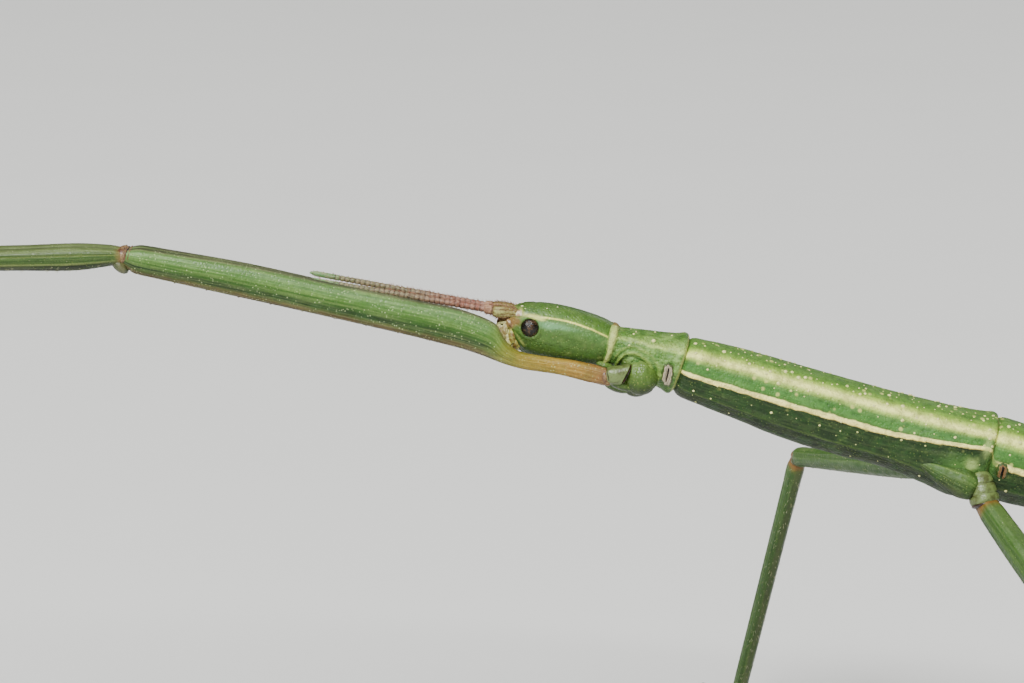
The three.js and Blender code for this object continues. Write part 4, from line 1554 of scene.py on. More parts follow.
@dataclass
class HeadWork:
    """Builds the head: capsule, mouth, eyes and feelers."""

    capsule: HeadCapsule = field(default_factory=HeadCapsule)
    length: float = 6.15
    eye_size: Triple = (0.5, 0.37, 0.49)
    # Pale granules: distance behind the face, degrees from the top, half length.
    granules: tuple[Triple, ...] = (
        (1.02, 24, 0.09), (2.9, 18, 0.05), (2.35, 30, 0.04), (3.35, 150, 0.06), (1.2, 36, 0.05),
    )

    def build(self) -> None:
        """Makes every piece of the head."""
        self.shell()
        MouthWork().build()
        for side in Side:
            self.eye(side)
            FeelerWork(side).build()

    def shell(self) -> None:
        """The capsule, with pale granules and soft patches by the eyes."""
        specks = Glaze("head_granule", (236, 232, 196), (206, 210, 160), scale=6000)
        finishes = [HEAD_FINISH.material(), specks.material()]
        body = Moulding("head_capsule", "head", finishes, ["head"])
        body.lay(self.capsule, spaced(0.0, self.length, 0.06, rims=0.2), 104, domes=(0.16, 0.25))
        for along, degrees, size in self.granules:
            for side in Side:
                angle = math.radians(degrees) * side.value
                body.stud(self.capsule, along, angle, (size, size * 0.6, size * 0.4), 1, (10, 8))
        body.done()

    def eye(self, side: Side) -> None:
        """One eye, set as deep as its socket.

        Args:
            side: which side.
        """
        along, out, up = EYE_CENTRE
        name = f"{side.word}_eye"
        body = Moulding(f"{name}_ball", "eye", [EyeGlass().material()], [name])
        centre = Trunk.beside("head", along + EYE_SET_BACK, side.value * out, up)
        body.ball(centre, self.eye_size, turn=HEAD_TURN, detail=(56, 40))
        body.done()


class MouthFinish(Enum):
    """Numbers of the finishes on the mouthparts."""

    SHIELD = 0
    JAW = 1
    PALP = 2
    HINGE = 3


MOUTH_FINISHES = (
    Glaze("mouth_shield", (208, 206, 164), (146, 130, 94), rough=0.4, scale=4400),
    Glaze("jaws", (168, 144, 112), (114, 92, 70), rough=0.34, scale=4400, coat=0.2),
    Glaze("palps", (176, 176, 112), (128, 108, 72), rough=0.42, scale=4400),
    # Near black: painted shade for the dark slit between the clypeus and the jaws.
    Glaze("jaw_hinge", (44, 32, 28), (20, 16, 14), rough=0.22, scale=3000, coat=0.4),
)
SHIELD_OUTLINE: Rows = (
    (0.0, 0.34, 0.2, 0.2), (0.3, 0.5, 0.3, 0.24), (0.5, 0.5, 0.28, 0.24), (0.54, 0.42, 0.2, 0.2),
    (0.62, 0.48, 0.26, 0.22), (0.85, 0.44, 0.22, 0.2), (1.0, 0.3, 0.14, 0.14),
)
# Round-ended parts on each side: root, tip, radii at the root, the middle and the tip, and finish.
# Places are given behind the face, out and up.
MOUTH_RODS: tuple[tuple[Row, Row, Row, MouthFinish], ...] = (
    # The first rod, near black, is painted shade: it fills the slit between the clypeus and the jaws.
    ((-0.02, 0.34, -0.12), (0.3, 0.5, 0.06), (0.06, 0.05, 0.045), MouthFinish.HINGE),
    ((0.0, 0.34, 0.0), (0.34, 0.52, 0.16), (0.07, 0.08, 0.06), MouthFinish.SHIELD),
    ((0.42, 0.62, 0.28), (0.72, 0.72, 0.02), (0.12, 0.16, 0.12), MouthFinish.JAW),
    ((0.34, 0.5, -0.04), (0.36, 0.54, -0.6), (0.16, 0.2, 0.18), MouthFinish.SHIELD),
    ((0.16, 0.38, -0.5), (0.3, 0.44, -1.04), (0.24, 0.26, 0.22), MouthFinish.JAW),
    ((0.68, 0.64, -0.12), (0.84, 0.68, -0.74), (0.13, 0.22, 0.2), MouthFinish.PALP),
    ((0.58, 0.58, -0.56), (0.8, 0.6, -1.12), (0.16, 0.24, 0.2), MouthFinish.SHIELD),
    ((0.96, 0.66, -0.62), (1.12, 0.6, -1.06), (0.12, 0.2, 0.16), MouthFinish.PALP),
)
# Each palp's thickness and its joints from the root to the tip.
PALPS: tuple[tuple[float, Rows], ...] = (
    (0.12, ((0.86, 0.7, -0.8), (0.62, 0.8, -1.04), (0.3, 0.78, -1.12), (0.02, 0.66, -1.0))),
    (0.09, ((1.04, 0.26, -1.36), (0.84, 0.32, -1.52), (0.6, 0.3, -1.46))),
)


@dataclass
class MouthWork:
    """Builds clypeus, upper lip, jaws, lower lip and the jointed palps as one piece."""

    palp_swell: Triple = (0.72, 1.08, 0.9)

    def build(self) -> None:
        """Makes the piece."""
        finishes = [finish.material() for finish in MOUTH_FINISHES]
        self.body = Moulding("mouthparts_set", "mouthparts", finishes, ["mouthparts"])
        root, tip = (Trunk.beside("head", *place) for place in ((0.16, 0, 0.16), (0.1, 0, -1.0)))
        shield = Limb(root, tip, SHIELD_OUTLINE, squareness=2.6)
        self.body.lay(shield, spaced(0, shield.length, 0.04), 36, domes=(0.1, 0.06))
        self.ball((0.62, 0, -0.36), (0.52, 0.64, 0.5), MouthFinish.SHIELD)
        self.ball((0.98, 0, -1.06), (0.5, 0.44, 0.38), MouthFinish.SHIELD)
        for side in Side:
            for rod in MOUTH_RODS:
                self.rod(side, *rod)
            self.ball((0.62, side.value * 0.72, 0.2), (0.09, 0.06, 0.05), MouthFinish.SHIELD)
            self.ball((1.22, side.value * 0.52, -0.94), (0.26, 0.22, 0.2), MouthFinish.PALP)
            for thick, joints in PALPS:
                radii = tuple(thick * swell for swell in self.palp_swell)
                for root, tip in zip(joints, joints[1:]):
                    self.rod(side, root, tip, radii, MouthFinish.PALP)
        self.body.done()

    def ball(self, place: Row, size: Row, finish: MouthFinish) -> None:
        """Adds one ball."""
        centre = Trunk.beside("head", *place)
        self.body.ball(centre, size, finish.value, HEAD_TURN, detail=(28, 20))

    def rod(self, side: Side, root: Row, tip: Row, radii: Row, finish: MouthFinish) -> None:
        """Adds one round-ended part.

        Args:
            side: which side of the mouth.
            root: its root: behind the face, out and up.
            tip: its tip, the same way.
            radii: its radius at the root, the middle and the tip.
            finish: its finish.
        """
        rows = tuple((share, *[radius] * 3) for share, radius in zip((0.0, 0.55, 1.0), radii))
        start, end = (Trunk.beside("head", along, side.value * out, up) for along, out, up in (root, tip))
        part = Limb(start, end, rows)
        self.body.lay(part, spaced(0, part.length, 0.05), 18, finish.value, (radii[0], radii[2]))


FEELER_FINISH = Glaze(
    "feeler_skin", (150, 145, 125), (200, 176, 160), rough=0.5, scale=5200,
    along=(
        (0.0, (176, 150, 142)), (0.03, (150, 104, 98)), (0.14, (154, 112, 104)), (0.28, (152, 128, 116)),
        (0.42, (142, 138, 120)), (0.8, (134, 138, 112)), (0.86, (116, 154, 114)), (1.0, (120, 166, 122)),
    ),
    joint=(70, 46, 44),
)
SCAPE_FINISH = Cuticle(
    name="scape_skin", mark="rise",
    stripes=(
        (0.0, (138, 130, 96)), (0.3, (178, 178, 134)), (0.42, (124, 106, 76)), (0.5, (172, 174, 126)),
        (0.66, (182, 180, 138)), (0.74, (118, 98, 74)), (0.82, (168, 160, 122)), (1.0, (136, 122, 92)),
    ),
    lengthwise=(
        (0.0, (196, 186, 156)), (0.7, (186, 170, 122)), (0.76, (92, 64, 60)), (0.82, (188, 152, 142)),
    ),
    keep=(0.74, 0.7), wander=0.3, streaks=(5.0, 2.4), streaking=0.4, clouds=(150, 116, 84),
    dots=(214, 204, 160), pits=0.0,
)
SOCKET_FINISH = Glaze("socket_skin", (224, 218, 200), (178, 150, 128), rough=0.4, scale=4200)
FEELER_HAIR = Glaze("feeler_hair", (200, 158, 148), (160, 120, 112), rough=0.5, scale=3000)
SCAPE_OUTLINE: Rows = (
    (0.0, 0.2, 0.2, 0.18), (0.12, 0.23, 0.28, 0.24), (0.45, 0.32, 0.34, 0.37), (0.64, 0.33, 0.31, 0.38),
    (0.72, 0.28, 0.27, 0.32), (0.755, 0.21, 0.21, 0.24), (0.79, 0.24, 0.25, 0.27),
    (0.94, 0.24, 0.24, 0.26), (1.0, 0.16, 0.16, 0.18),
)


@dataclass
class Whip(Limb):
    """The ringed part of a feeler."""

    rings: int = 30
    last: float = 1.4
    radii: Pair = (0.19, 0.145)

    def bead(self, along: float) -> Pair:
        """Where in its joint a place lies.

        Args:
            along: distance from the whip's root.

        Returns:
            The share of the joint, from 0 to 1, and the joint's length.
        """
        ringed = self.length - self.last
        pitch = ringed / self.rings
        if along >= ringed:
            return min(1.0, (along - ringed) / self.last), self.last
        return along % pitch / pitch, pitch

    def values(self, along: float) -> Sequence[float]:
        """Waists the whip at each joint and rounds its tip.

        Args:
            along: distance from its root.

        Returns:
            The radius, three times over.
        """
        share, pitch = self.bead(along)
        ringed = along < self.length - self.last
        edge = min(share, 1 - share if ringed else 1.0) * pitch
        waist = 1 - 0.13 * hump(edge, 0, 0.05)
        thick = self.radii[0] + (self.radii[1] - self.radii[0]) * min(1.0, along / self.length * 1.15)
        flare = 1 + 0.1 * share if ringed else 1.02
        taper = 1 - 0.55 * smooth(along, self.length - 0.45, self.length)
        return [thick * waist * flare * taper] * 3

    def marks(self, along: float, angle: float) -> dict[str, float]:
        """Share of the length, and 1 at the dark rings between joints.

        Args:
            along: distance from its root.
            angle: the way round from the top, in radians.

        Returns:
            The stored values.
        """
        share, pitch = self.bead(along)
        edge = min(share, 1 - share) * pitch
        ringed = along < self.length - self.last + 0.06
        return {"along": along / self.length, "joint": 0.85 * hump(edge, 0, 0.035) if ringed else 0.0}


@dataclass
class FeelerWork:
    """Builds a feeler: broad scape and short pedicel, ringed whip with a long last joint, hairs."""

    side: Side
    length: float = 11.4
    scape_length: float = 1.42
    pedicel_length: float = 0.4
    stem_lift: float = 9.0
    whip_seat_lift: float = 10.7
    inward: float = 1.1

    def towards(self, degrees: float) -> Vector:
        """The way ahead and slightly inward, lifted by so many degrees."""
        lift, inward = math.radians(degrees), math.sin(math.radians(self.inward))
        return Vector((-math.cos(lift), -self.side.value * inward, math.sin(lift))).normalized()

    def material(self, finish: Glaze | Cuticle) -> Material:
        """Makes this side's own copy of a finish."""
        return replace(finish, name=f"{self.side.word}_{finish.name}").material()

    def build(self) -> None:
        """Makes the feeler and its hairs."""
        s = self.side.value
        name = f"{self.side.word}_antenna"
        root = Trunk.beside("head", 0.84, s * 0.5, 0.72)
        base = self.scape_length + self.pedicel_length
        knuckle = root + self.towards(self.stem_lift) * base
        tip = knuckle + self.towards(9.3 if self.side is Side.LEFT else 11.0) * (self.length - base)
        finishes = [self.material(finish) for finish in (FEELER_FINISH, SCAPE_FINISH, SOCKET_FINISH)]
        body = Moulding(f"{name}_whip", "antenna", finishes, [name])
        foot = root - self.towards(self.stem_lift) * 0.1
        ridges = ((48, 9, 0.01), (112, 9, 0.012))
        stem = Limb(foot, knuckle, SCAPE_OUTLINE, squareness=2.4, ridges=ridges)
        body.lay(stem, spaced(0, stem.length, 0.035), 40, finish=1, domes=(0.05, 0.05))
        whip = Whip(knuckle - self.towards(self.whip_seat_lift) * 0.05, tip, ())
        body.lay(whip, spaced(0, whip.length - 0.1, 0.045), 18, domes=(0.05, 0.1))
        knob = Trunk.beside("head", 0.96, s * 0.66, 0.74)
        body.ball(knob, (0.22, 0.22, 0.25), finish=2, turn=HEAD_TURN)
        body.done()
        setae = Setae(f"{name}_setae", "antenna", self.material(FEELER_HAIR), seed=7 + s)
        half = whip.length * 0.55
        setae.grow(stem, (0.15, 1.8), (0, 180), 380, 0.15, radius=0.012)
        setae.grow(whip, (0.1, half), (0, 180), 520, 0.17)
        setae.grow(whip, (half, whip.length - 0.1), (0, 180), 300, 0.11, radius=0.01)
        setae.done()


# ---------------- limbs


def heading(side: Side, swing: float, lift: float) -> Vector:
    """A direction out from the animal.

    Args:
        side: which side it leads to.
        swing: how far it swings to the tail, in degrees.
        lift: how far it lifts, in degrees.

    Returns:
        A unit vector.
    """
    turn, rise = math.radians(swing), math.radians(lift)
    level = math.cos(rise)
    return Vector((math.sin(turn) * level, side.value * math.cos(turn) * level, math.sin(rise)))


class LegFinish(Enum):
    """Numbers of the finishes on a leg."""

    COXA = 0
    FORE_FEMUR = 1
    FEMUR = 2
    SHIN = 3
    TROCHANTER = 4
    KNEE = 5
    LOBE = 6
    DARK = 7
    PAD = 8
    HIP = 9


# The finishes in the order of those numbers.
LEG_SKINS = (
    COXA_FINISH,
    FORE_FEMUR_FINISH,
    LEG_FINISH,
    SHIN_FINISH,
    Glaze("trochanter_skin", (126, 144, 104), (98, 108, 76), rough=0.42, scale=2600),
    Glaze("knee_skin", (112, 84, 70), (150, 130, 106), rough=0.42, scale=4200),
    Glaze("knee_lobe_skin", (112, 116, 94), (84, 98, 70)),
    Glaze("joint_skin", (78, 44, 32), (34, 26, 18), rough=0.38),
    Glaze("foot_pad", (196, 178, 138), (150, 124, 90), rough=0.5),
    HIP_FINISH,
)
CLAW_HORN = Glaze("claw_horn", (120, 74, 40), (44, 26, 16), rough=0.25, coat=0.3)
LEG_HAIR = Glaze("leg_hair", (206, 206, 182), (150, 148, 120), rough=0.5)


@dataclass
class LegPalette:
    """The finishes that all six legs share, each made once."""

    skins: list[Material] = field(default_factory=lambda: [skin.material() for skin in LEG_SKINS])
    claw: Material = field(default_factory=CLAW_HORN.material)
    hair: Material = field(default_factory=LEG_HAIR.material)


# Pads under the foot: share of its length and half length.
FOOT_PADS = ((0.38, 0.3), (0.64, 0.22), (0.81, 0.14), (0.94, 0.2))
CLAW_OUTLINE: Rows = (
    (0.0, 0.15, 0.15, 0.15), (0.5, 0.12, 0.12, 0.12), (1.0, 0.04, 0.04, 0.04),
)
# Ridges along the rods of the legs: degrees from the top, width and height.
SHIN_RIDGES = ((22, 5, 0.03), (62, 6, 0.045), (90, 5, 0.04), (118, 6, 0.045), (158, 5, 0.03))
THIGH_RIDGES = ((20, 6, 0.03), (58, 6, 0.04), (92, 6, 0.05), (125, 6, 0.04), (160, 6, 0.03))
FORE_THIGH_RIDGES = (
    (14, 4, 0.035), (40, 5, 0.03), (58, 5, 0.03), (74, 5, 0.035), (97, 5, 0.05), (128, 5, 0.045),
    (152, 5, 0.04), (174, 5, 0.04),
)


@dataclass
class Leg:
    """One leg: its joints, and the work of laying its skin from the coxa to the claws."""

    side: Side
    rank: str
    palette: LegPalette
    hip: Vector
    knee: Vector
    ankle: Vector
    tarsus_way: Vector
    tarsus_length: float
    claw_length: float = 0.85
    claw_spread: float = 24.0
    standing: bool = True

    def __post_init__(self) -> None:
        """Starts the skin and the hairs."""
        self.name = f"{self.side.word}_{self.rank}"
        nodes = [f"{self.name}_{part}" for part in ("coxa", "femur", "tibia", "tarsus")]
        self.body = Moulding(f"{self.name}_leg", "legs", self.palette.skins, nodes, floored=self.standing)
        seed = 100 + 10 * ("fore", "middle", "hind").index(self.rank) + self.side.value
        self.setae = Setae(f"{self.name}_leg_setae", "legs", self.palette.hair, seed)

    def lay(self, rod: Limb, step: float, sides: int, finish: LegFinish, domes: Row) -> None:
        """Lays one segment."""
        self.body.lay(rod, spaced(0, rod.length, step, rims=0.4), sides, finish.value, domes)

    def ball(
        self, place: Vector, size: Row, finish: LegFinish, turn: Matrix | None = None,
        detail: tuple[int, int] = (20, 14),
    ) -> None:
        """Adds one ball."""
        self.body.ball(place, size, finish.value, turn, detail)

    def teeth(self, surface: Surface, places: Iterable[float], size: float) -> None:
        """Sets small teeth along the lower edge.

        Args:
            surface: the segment.
            places: where they stand along it.
            size: their height.
        """
        for along in places:
            shape = (size * 0.55, size * 0.8, size)
            self.body.stud(surface, along, math.pi, shape, LegFinish.KNEE.value)

    def tibia(self, outline: Sequence[Row], radius: float, hairs: int, finish: LegFinish) -> None:
        """Lays the tibia, the knee's knob in the femur's fork, and its hairs.

        Args:
            outline: its outline by share of its length.
            radius: the knob's radius.
            hairs: how many hairs.
            finish: its finish.
        """
        shin = Limb(self.knee, self.ankle, outline, squareness=2.6, ridges=SHIN_RIDGES)
        self.lay(shin, 0.2, 40, finish, (0.12, 0.1))
        self.ball(self.knee, (radius, radius * 0.92, radius), LegFinish.KNEE)
        self.setae.grow(shin, (0.6, shin.length - 0.2), (110, 180), hairs, 0.17, lean=38)
        self.setae.grow(shin, (0.6, shin.length - 0.2), (0, 110), hairs // 2, 0.1, lean=45)
        self.ball(self.ankle, (0.3, 0.28, 0.28), LegFinish.KNEE)

    def foot(self) -> None:
        """Lays the five-jointed tarsus, its pads, the lobe between the claws, and the two claws."""
        heel = self.ankle.copy()
        if self.standing:
            heel.z = TARSUS_AXIS
        tip = heel + self.tarsus_way * (self.tarsus_length - self.claw_length * 0.7)
        tarsus = Limb(heel, tip, TARSUS_OUTLINE, squareness=2.8)
        self.lay(tarsus, 0.07, 28, LegFinish.SHIN, (0.08, 0.08))
        for share, long in FOOT_PADS:
            sole = tarsus.at(share * tarsus.length, math.pi, lift=-0.1)
            self.ball(sole, (long, 0.2, 0.13), LegFinish.PAD, tarsus.turn)
        lobe = tip + self.tarsus_way * 0.16 - tarsus.over * 0.04
        self.ball(lobe, (0.3, 0.2, 0.16), LegFinish.PAD, tarsus.turn)
        hairy = (20, 88) if self.standing else (60, 170)
        self.setae.grow(tarsus, (0.2, tarsus.length), hairy, 90, 0.12, lean=45)
        self.claws(tip - self.tarsus_way * 0.12)

    def claws(self, start: Vector) -> None:
        """Makes the two claws as one piece.

        Args:
            start: where they part.
        """
        drop = 0.1 if self.standing else 0.3
        body = Moulding(f"{self.name}_claws", "legs", [self.palette.claw], floored=self.standing)

        def curl(point: Vector) -> Vector:
            """Arches a claw up and then down to its point."""
            far = (point - start).length / self.claw_length
            return point + Vector((0, 0, 0.04 * math.sin(math.pi * far) - drop * far * far))

        for hand in (-1, 1):
            aim = Matrix.Rotation(math.radians(hand * self.claw_spread), 3, "Z") @ self.tarsus_way
            claw = Limb(start, start + aim * self.claw_length, CLAW_OUTLINE, lead=curl)
            body.lay(claw, spaced(0, claw.length, 0.05), 14, domes=(0.05, 0.05))
        body.done()

    def done(self) -> None:
        """Closes the skin and the hairs."""
        self.body.done()
        self.setae.done()


@dataclass
class Wedge(Limb):
    """A short rod whose root end is cut at a slant."""

    slant: float = 0.0

    def at(self, along: float, angle: float, lift: float = 0.0, share: float = 1.0) -> Vector:
        """A point on the rod, moved along it the more the nearer it lies to the root.

        Args:
            along: distance from its root.
            angle: the way round from the top, in radians.
            lift: how far off the surface.
            share: share of the section's radius.

        Returns:
            The point.
        """
        point = super().at(along, angle, lift, share)
        high = (point - self.start).dot(self.over)
        return point - self.way * (self.slant * high * (1 - along / self.length))


@dataclass
class ForeLeg:
    """A fore leg, stretched forward past the head, thin and curved where it passes under it."""

    side: Side
    palette: LegPalette
    pitch: float
    droop: float
    drop: float
    femur: float = 26.6
    tibia: float = 25.5
    tarsus: float = 7.2
    shaft_out: float = 1.2
    coxa_place: Triple = (2.2, 1.06, -1.1)
    coxa_size: Triple = (0.94, 0.8, 0.98)
    hip_place: Triple = (0.29, 1.34, -1.62)
    wedge_outline: Rows = (
        (0.0, 0.48, 0.5, 0.56), (0.5, 0.5, 0.46, 0.5), (0.85, 0.46, 0.44, 0.46), (1.0, 0.4, 0.4, 0.42),
    )

    def beside(self, along: float, out: float, up: float, drop: float = 0.0) -> Vector:
        """A point beside the front plate of the thorax on this leg's side."""
        return Trunk.beside("prothorax", along, self.side.value * out, up - drop)

    def build(self) -> None:
        """Makes the leg."""
        hip = self.beside(*self.hip_place, self.drop)
        rise = math.radians(self.pitch)
        knee = hip + Vector((-math.cos(rise), 0, math.sin(rise))) * self.femur
        bent = Vector((knee.x, self.side.value * self.shaft_out, knee.z))
        sink = math.radians(self.droop)
        way = Vector((-math.cos(sink), self.side.value * 0.05, -math.sin(sink))).normalized()
        ankle = bent + way * self.tibia
        joints = (hip, bent, ankle, way, self.tarsus)
        leg = self.leg = Leg(self.side, "fore", self.palette, *joints, standing=False)
        self.hip()
        self.thigh(knee)
        leg.tibia(FORE_TIBIA_OUTLINE, 0.46, 300, LegFinish.SHIN)
        leg.foot()
        leg.done()

    @staticmethod
    def bulge(unit: Vector) -> Vector:
        """Creases the coxa's ball before and behind."""
        crease = hump(unit.x, -0.45 + 0.25 * unit.z, 0.09) + 0.7 * hump(unit.x, 0.62 - 0.2 * unit.z, 0.08)
        return unit * (1 - 0.045 * crease)

    @staticmethod
    def lit(unit: Vector) -> dict[str, float]:
        """Height in the ball from 0 to 1, painted as shade below and light above, and the way along it."""
        return {"rise": (unit.z + 1) / 2, "along": unit.x}

    def hip(self) -> None:
        """The round coxa and the short wedge of the trochanter."""
        leg = self.leg
        skin = LegFinish.COXA.value
        coxa = self.beside(*self.coxa_place, self.drop)
        leg.body.ball(coxa, self.coxa_size, skin, detail=(44, 30), shape=self.bulge, marks=self.lit)
        slope = Trunk.at(Trunk.start("prothorax") + 1)
        back, up = slope.out.cross(slope.up), slope.up
        out = Vector((0, self.side.value, 0))
        start = leg.hip + back * 1.02 + up * 0.5 - out * 0.05
        end = leg.hip + back * 0.12 + up * 0.12
        wedge = Wedge(start, end, self.wedge_outline, squareness=2.8, slant=0.62)
        leg.lay(wedge, 0.05, 44, LegFinish.TROCHANTER, (0.02, 0.12))
        for share, over, radius, lean in ((-0.05, -0.03, 0.62, -0.56), (0.97, 0.0, 0.46, 0.1)):
            turn = wedge.turn @ Matrix.Rotation(lean, 3, "Y")
            leg.ball(wedge.spot(share, over), (0.07, radius, radius), LegFinish.DARK, turn, (36, 12))
        leg.ball(leg.hip + up * 0.02, (0.3, 0.42, 0.46), LegFinish.KNEE, wedge.turn)
        level = Matrix((back, -slope.out, up)).transposed()
        membrane = (self.beside(0.2, 0.84, -1.12), (0.52, 0.26, 0.2))
        forepart = (self.beside(1.34, 1.0, -1.74, self.drop), (0.84, 0.56, 0.36))
        for place, size in (membrane, forepart):
            leg.body.ball(place, size, skin, level, (28, 18), marks=self.lit)

    def thigh(self, knee: Vector) -> None:
        """The femur, led in towards the midline in front of the head, with its fork at the knee.

        Args:
            knee: the knee before it is led in.
        """
        leg, hip = self.leg, self.leg.hip
        inward = hip.y - self.side.value * self.shaft_out

        def lead(point: Vector) -> Vector:
            """Eases a point in towards the midline once it is past the head's side."""
            return point - Vector((0, inward * smooth(hip.x - point.x, 3.2, 8.4), 0))

        femur = Limb(hip, knee, FORE_FEMUR_OUTLINE, 2.7, self.femur, lead, FORE_THIGH_RIDGES)
        places = [-0.32, -0.16, *spaced(0, femur.length, 0.16, rims=0.4)]
        leg.body.lay(femur, places, 52, LegFinish.FORE_FEMUR.value, (0.12, 0.05))
        leg.teeth(femur, [9.6 + 1.75 * i for i in range(9)], 0.1)
        leg.teeth(femur, [0.5 + 0.31 * i for i in range(14)], 0.045)
        leg.setae.grow(femur, (6.5, 26.0), (120, 180), 260, 0.11, lean=50)
        leg.setae.grow(femur, (6.5, 26.0), (0, 60), 160, 0.09, lean=55)
        way = (leg.knee - lead(femur.spot(0.9))).normalized()
        lobe = leg.knee + way * 0.06 - femur.over * 0.52
        leg.ball(lobe, (0.58, 0.44, 0.32), LegFinish.LOBE, femur.turn @ Matrix.Rotation(-0.5, 3, "Y"))
        rings = ((0.02, 0.44, LegFinish.KNEE), (-0.14, 0.41, LegFinish.DARK), (-0.28, 0.47, LegFinish.KNEE))
        for back, tall, finish in rings:
            ring = leg.knee + way * back + femur.over * 0.06
            leg.ball(ring, (0.11, tall - 0.02, tall), finish, femur.turn, (36, 14))


@dataclass(frozen=True)
class Rank:
    """What the two legs of a standing rank share: where they hang and how long they are."""

    name: str
    plate: str
    along: float
    femur: float
    tibia: float
    tarsus: float


MIDDLE = Rank("middle", "mesothorax", 16.25, 17.5, 18.5, 5.0)
HIND = Rank("hind", "metathorax", 11.85, 20.0, 21.0, 5.4)

CONE_OUTLINE: Rows = (
    (0.0, 0.3, 0.2, 0.2), (0.3, 0.56, 0.5, 0.5), (0.6, 0.7, 0.7, 0.7), (0.85, 0.74, 0.84, 0.82),
    (1.0, 0.66, 0.74, 0.72),
)
CONE_RIDGES = ((16, 8, 0.07), (45, 7, 0.03), (115, 7, 0.04), (160, 7, 0.05))
RING_OUTLINE: Rows = (
    (0.0, 0.56, 0.56, 0.56), (0.1, 0.64, 0.64, 0.64), (0.26, 0.68, 0.68, 0.68), (0.3, 0.63, 0.63, 0.63),
    (0.34, 0.71, 0.71, 0.71), (0.62, 0.75, 0.76, 0.75), (0.66, 0.7, 0.71, 0.7), (0.7, 0.77, 0.78, 0.77),
    (0.9, 0.78, 0.79, 0.78), (1.0, 0.66, 0.67, 0.66),
)
# Dark joints round the ringed part: share of its length, half width and radius.
DARK_JOINTS = ((0.3, 0.04, 0.66), (0.66, 0.04, 0.74), (1.0, 0.2, 0.77))


@dataclass
class StandingLeg:
    """A middle or hind leg, from the trunk down to its flat sole."""

    side: Side
    rank: Rank
    palette: LegPalette
    hip: Triple
    thigh: Pair
    shin: float

    def beside(self, along: float, out: float, up: float) -> Vector:
        """A point on this leg's side, by its distance behind the leg's place on the trunk."""
        return Trunk.beside(self.rank.plate, self.rank.along + along, self.side.value * out, up)

    def build(self) -> None:
        """Makes the leg."""
        hip = self.beside(*self.hip)
        knee = hip + heading(self.side, *self.thigh) * self.rank.femur
        lift = -math.degrees(math.asin((knee.z - ANKLE_HEIGHT) / self.rank.tibia))
        ankle = knee + heading(self.side, self.shin, lift) * self.rank.tibia
        level = heading(self.side, self.shin, 0)
        rank = self.rank
        leg = self.leg = Leg(self.side, rank.name, self.palette, hip, knee, ankle, level, rank.tarsus)
        self.root()
        self.femur()
        leg.tibia(TIBIA_OUTLINE, 0.42, 220, LegFinish.FEMUR)
        leg.foot()
        leg.done()

    def root(self) -> None:
        """The ridged cone that holds the leg, and the ringed coxa and trochanter under it."""
        leg = self.leg
        neck = leg.hip + Vector((-0.3, -0.5 * self.side.value, 1.4))
        inner, outer = self.beside(-2.5, 1.5, -1.1), self.beside(0.55, 2.2, -1.55)
        cone = Limb(inner, outer, CONE_OUTLINE, squareness=2.1, ridges=CONE_RIDGES)
        leg.lay(cone, 0.07, 60, LegFinish.HIP, (0.2, 0.3))
        ring = Limb(neck, leg.hip + (leg.hip - neck) * 0.04, RING_OUTLINE, squareness=2.2)
        leg.lay(ring, 0.04, 52, LegFinish.TROCHANTER, (0.3, 0.08))
        for share, wide, radius in DARK_JOINTS:
            leg.ball(ring.spot(share), (wide, radius, radius), LegFinish.DARK, ring.turn, (40, 12))

    def femur(self) -> None:
        """The ridged femur, with its teeth, hairs and the lobes at the knee."""
        leg = self.leg
        femur = Limb(leg.hip, leg.knee, STANDING_FEMUR_OUTLINE, squareness=2.7, ridges=THIGH_RIDGES)
        leg.lay(femur, 0.16, 44, LegFinish.FEMUR, (0.25, 0.05))
        leg.teeth(femur, [femur.length * (0.3 + 0.12 * i) for i in range(6)], 0.08)
        leg.setae.grow(femur, (1.2, femur.length - 0.3), (0, 180), 240, 0.1, lean=50)
        for drop, finish in ((-0.2, LegFinish.LOBE), (0.12, LegFinish.KNEE)):
            knob = leg.knee - femur.way * 0.1 + femur.over * drop
            leg.ball(knob, (0.46, 0.5, 0.36), finish, femur.turn)


# ---------------- tail


OPERCULUM_FINISH = Cuticle(
    name="operculum_cuticle", mark="rise",
    stripes=((0.0, (96, 136, 74)), (0.5, (112, 152, 86)), (1.0, (132, 166, 100))),
    streaks=(8.0, 3.0),
)


@dataclass
class TailWork:
    """The plate that covers the egg layer under the tail, and the two cerci."""

    plate_outline: Rows = (
        (0.0, 0.5, 0.25, 0.25), (0.2, 0.74, 0.3, 0.32), (0.7, 0.62, 0.3, 0.3), (1.0, 0.3, 0.25, 0.22),
    )
    cercus_outline: Rows = (
        (0.0, 0.24, 0.24, 0.24), (0.7, 0.22, 0.22, 0.22), (1.0, 0.14, 0.14, 0.14),
    )

    def build(self) -> None:
        """Makes both."""
        skin = OPERCULUM_FINISH.material()
        body = Moulding("operculum_plate", "abdomen", [skin], ["operculum"])
        start = Trunk.beside("abdomen_8", 0.4, 0, -1.34)
        end = Trunk.beside("abdomen_10", 1.5, 0, -0.92)
        plate = Limb(start, end, self.plate_outline, ridges=((180, 9, 0.05),))
        body.lay(plate, spaced(0, plate.length, 0.08), 40, domes=(0.1, 0.1))
        body.done()
        for side in Side:
            root = Trunk.beside("abdomen_10", 1.2, side.value * 0.32, 0.02)
            tip = Trunk.beside("abdomen_10", 2.86, side.value * 0.46, -0.12)
            cercus = Limb(root, tip, self.cercus_outline)
            body = Moulding(f"{side.word}_cercus_rod", "abdomen", [skin], [f"{side.word}_cercus"])
            body.lay(cercus, spaced(0, cercus.length, 0.06), 20, domes=(0.05, 0.05))
            body.done()


# ---------------- studio


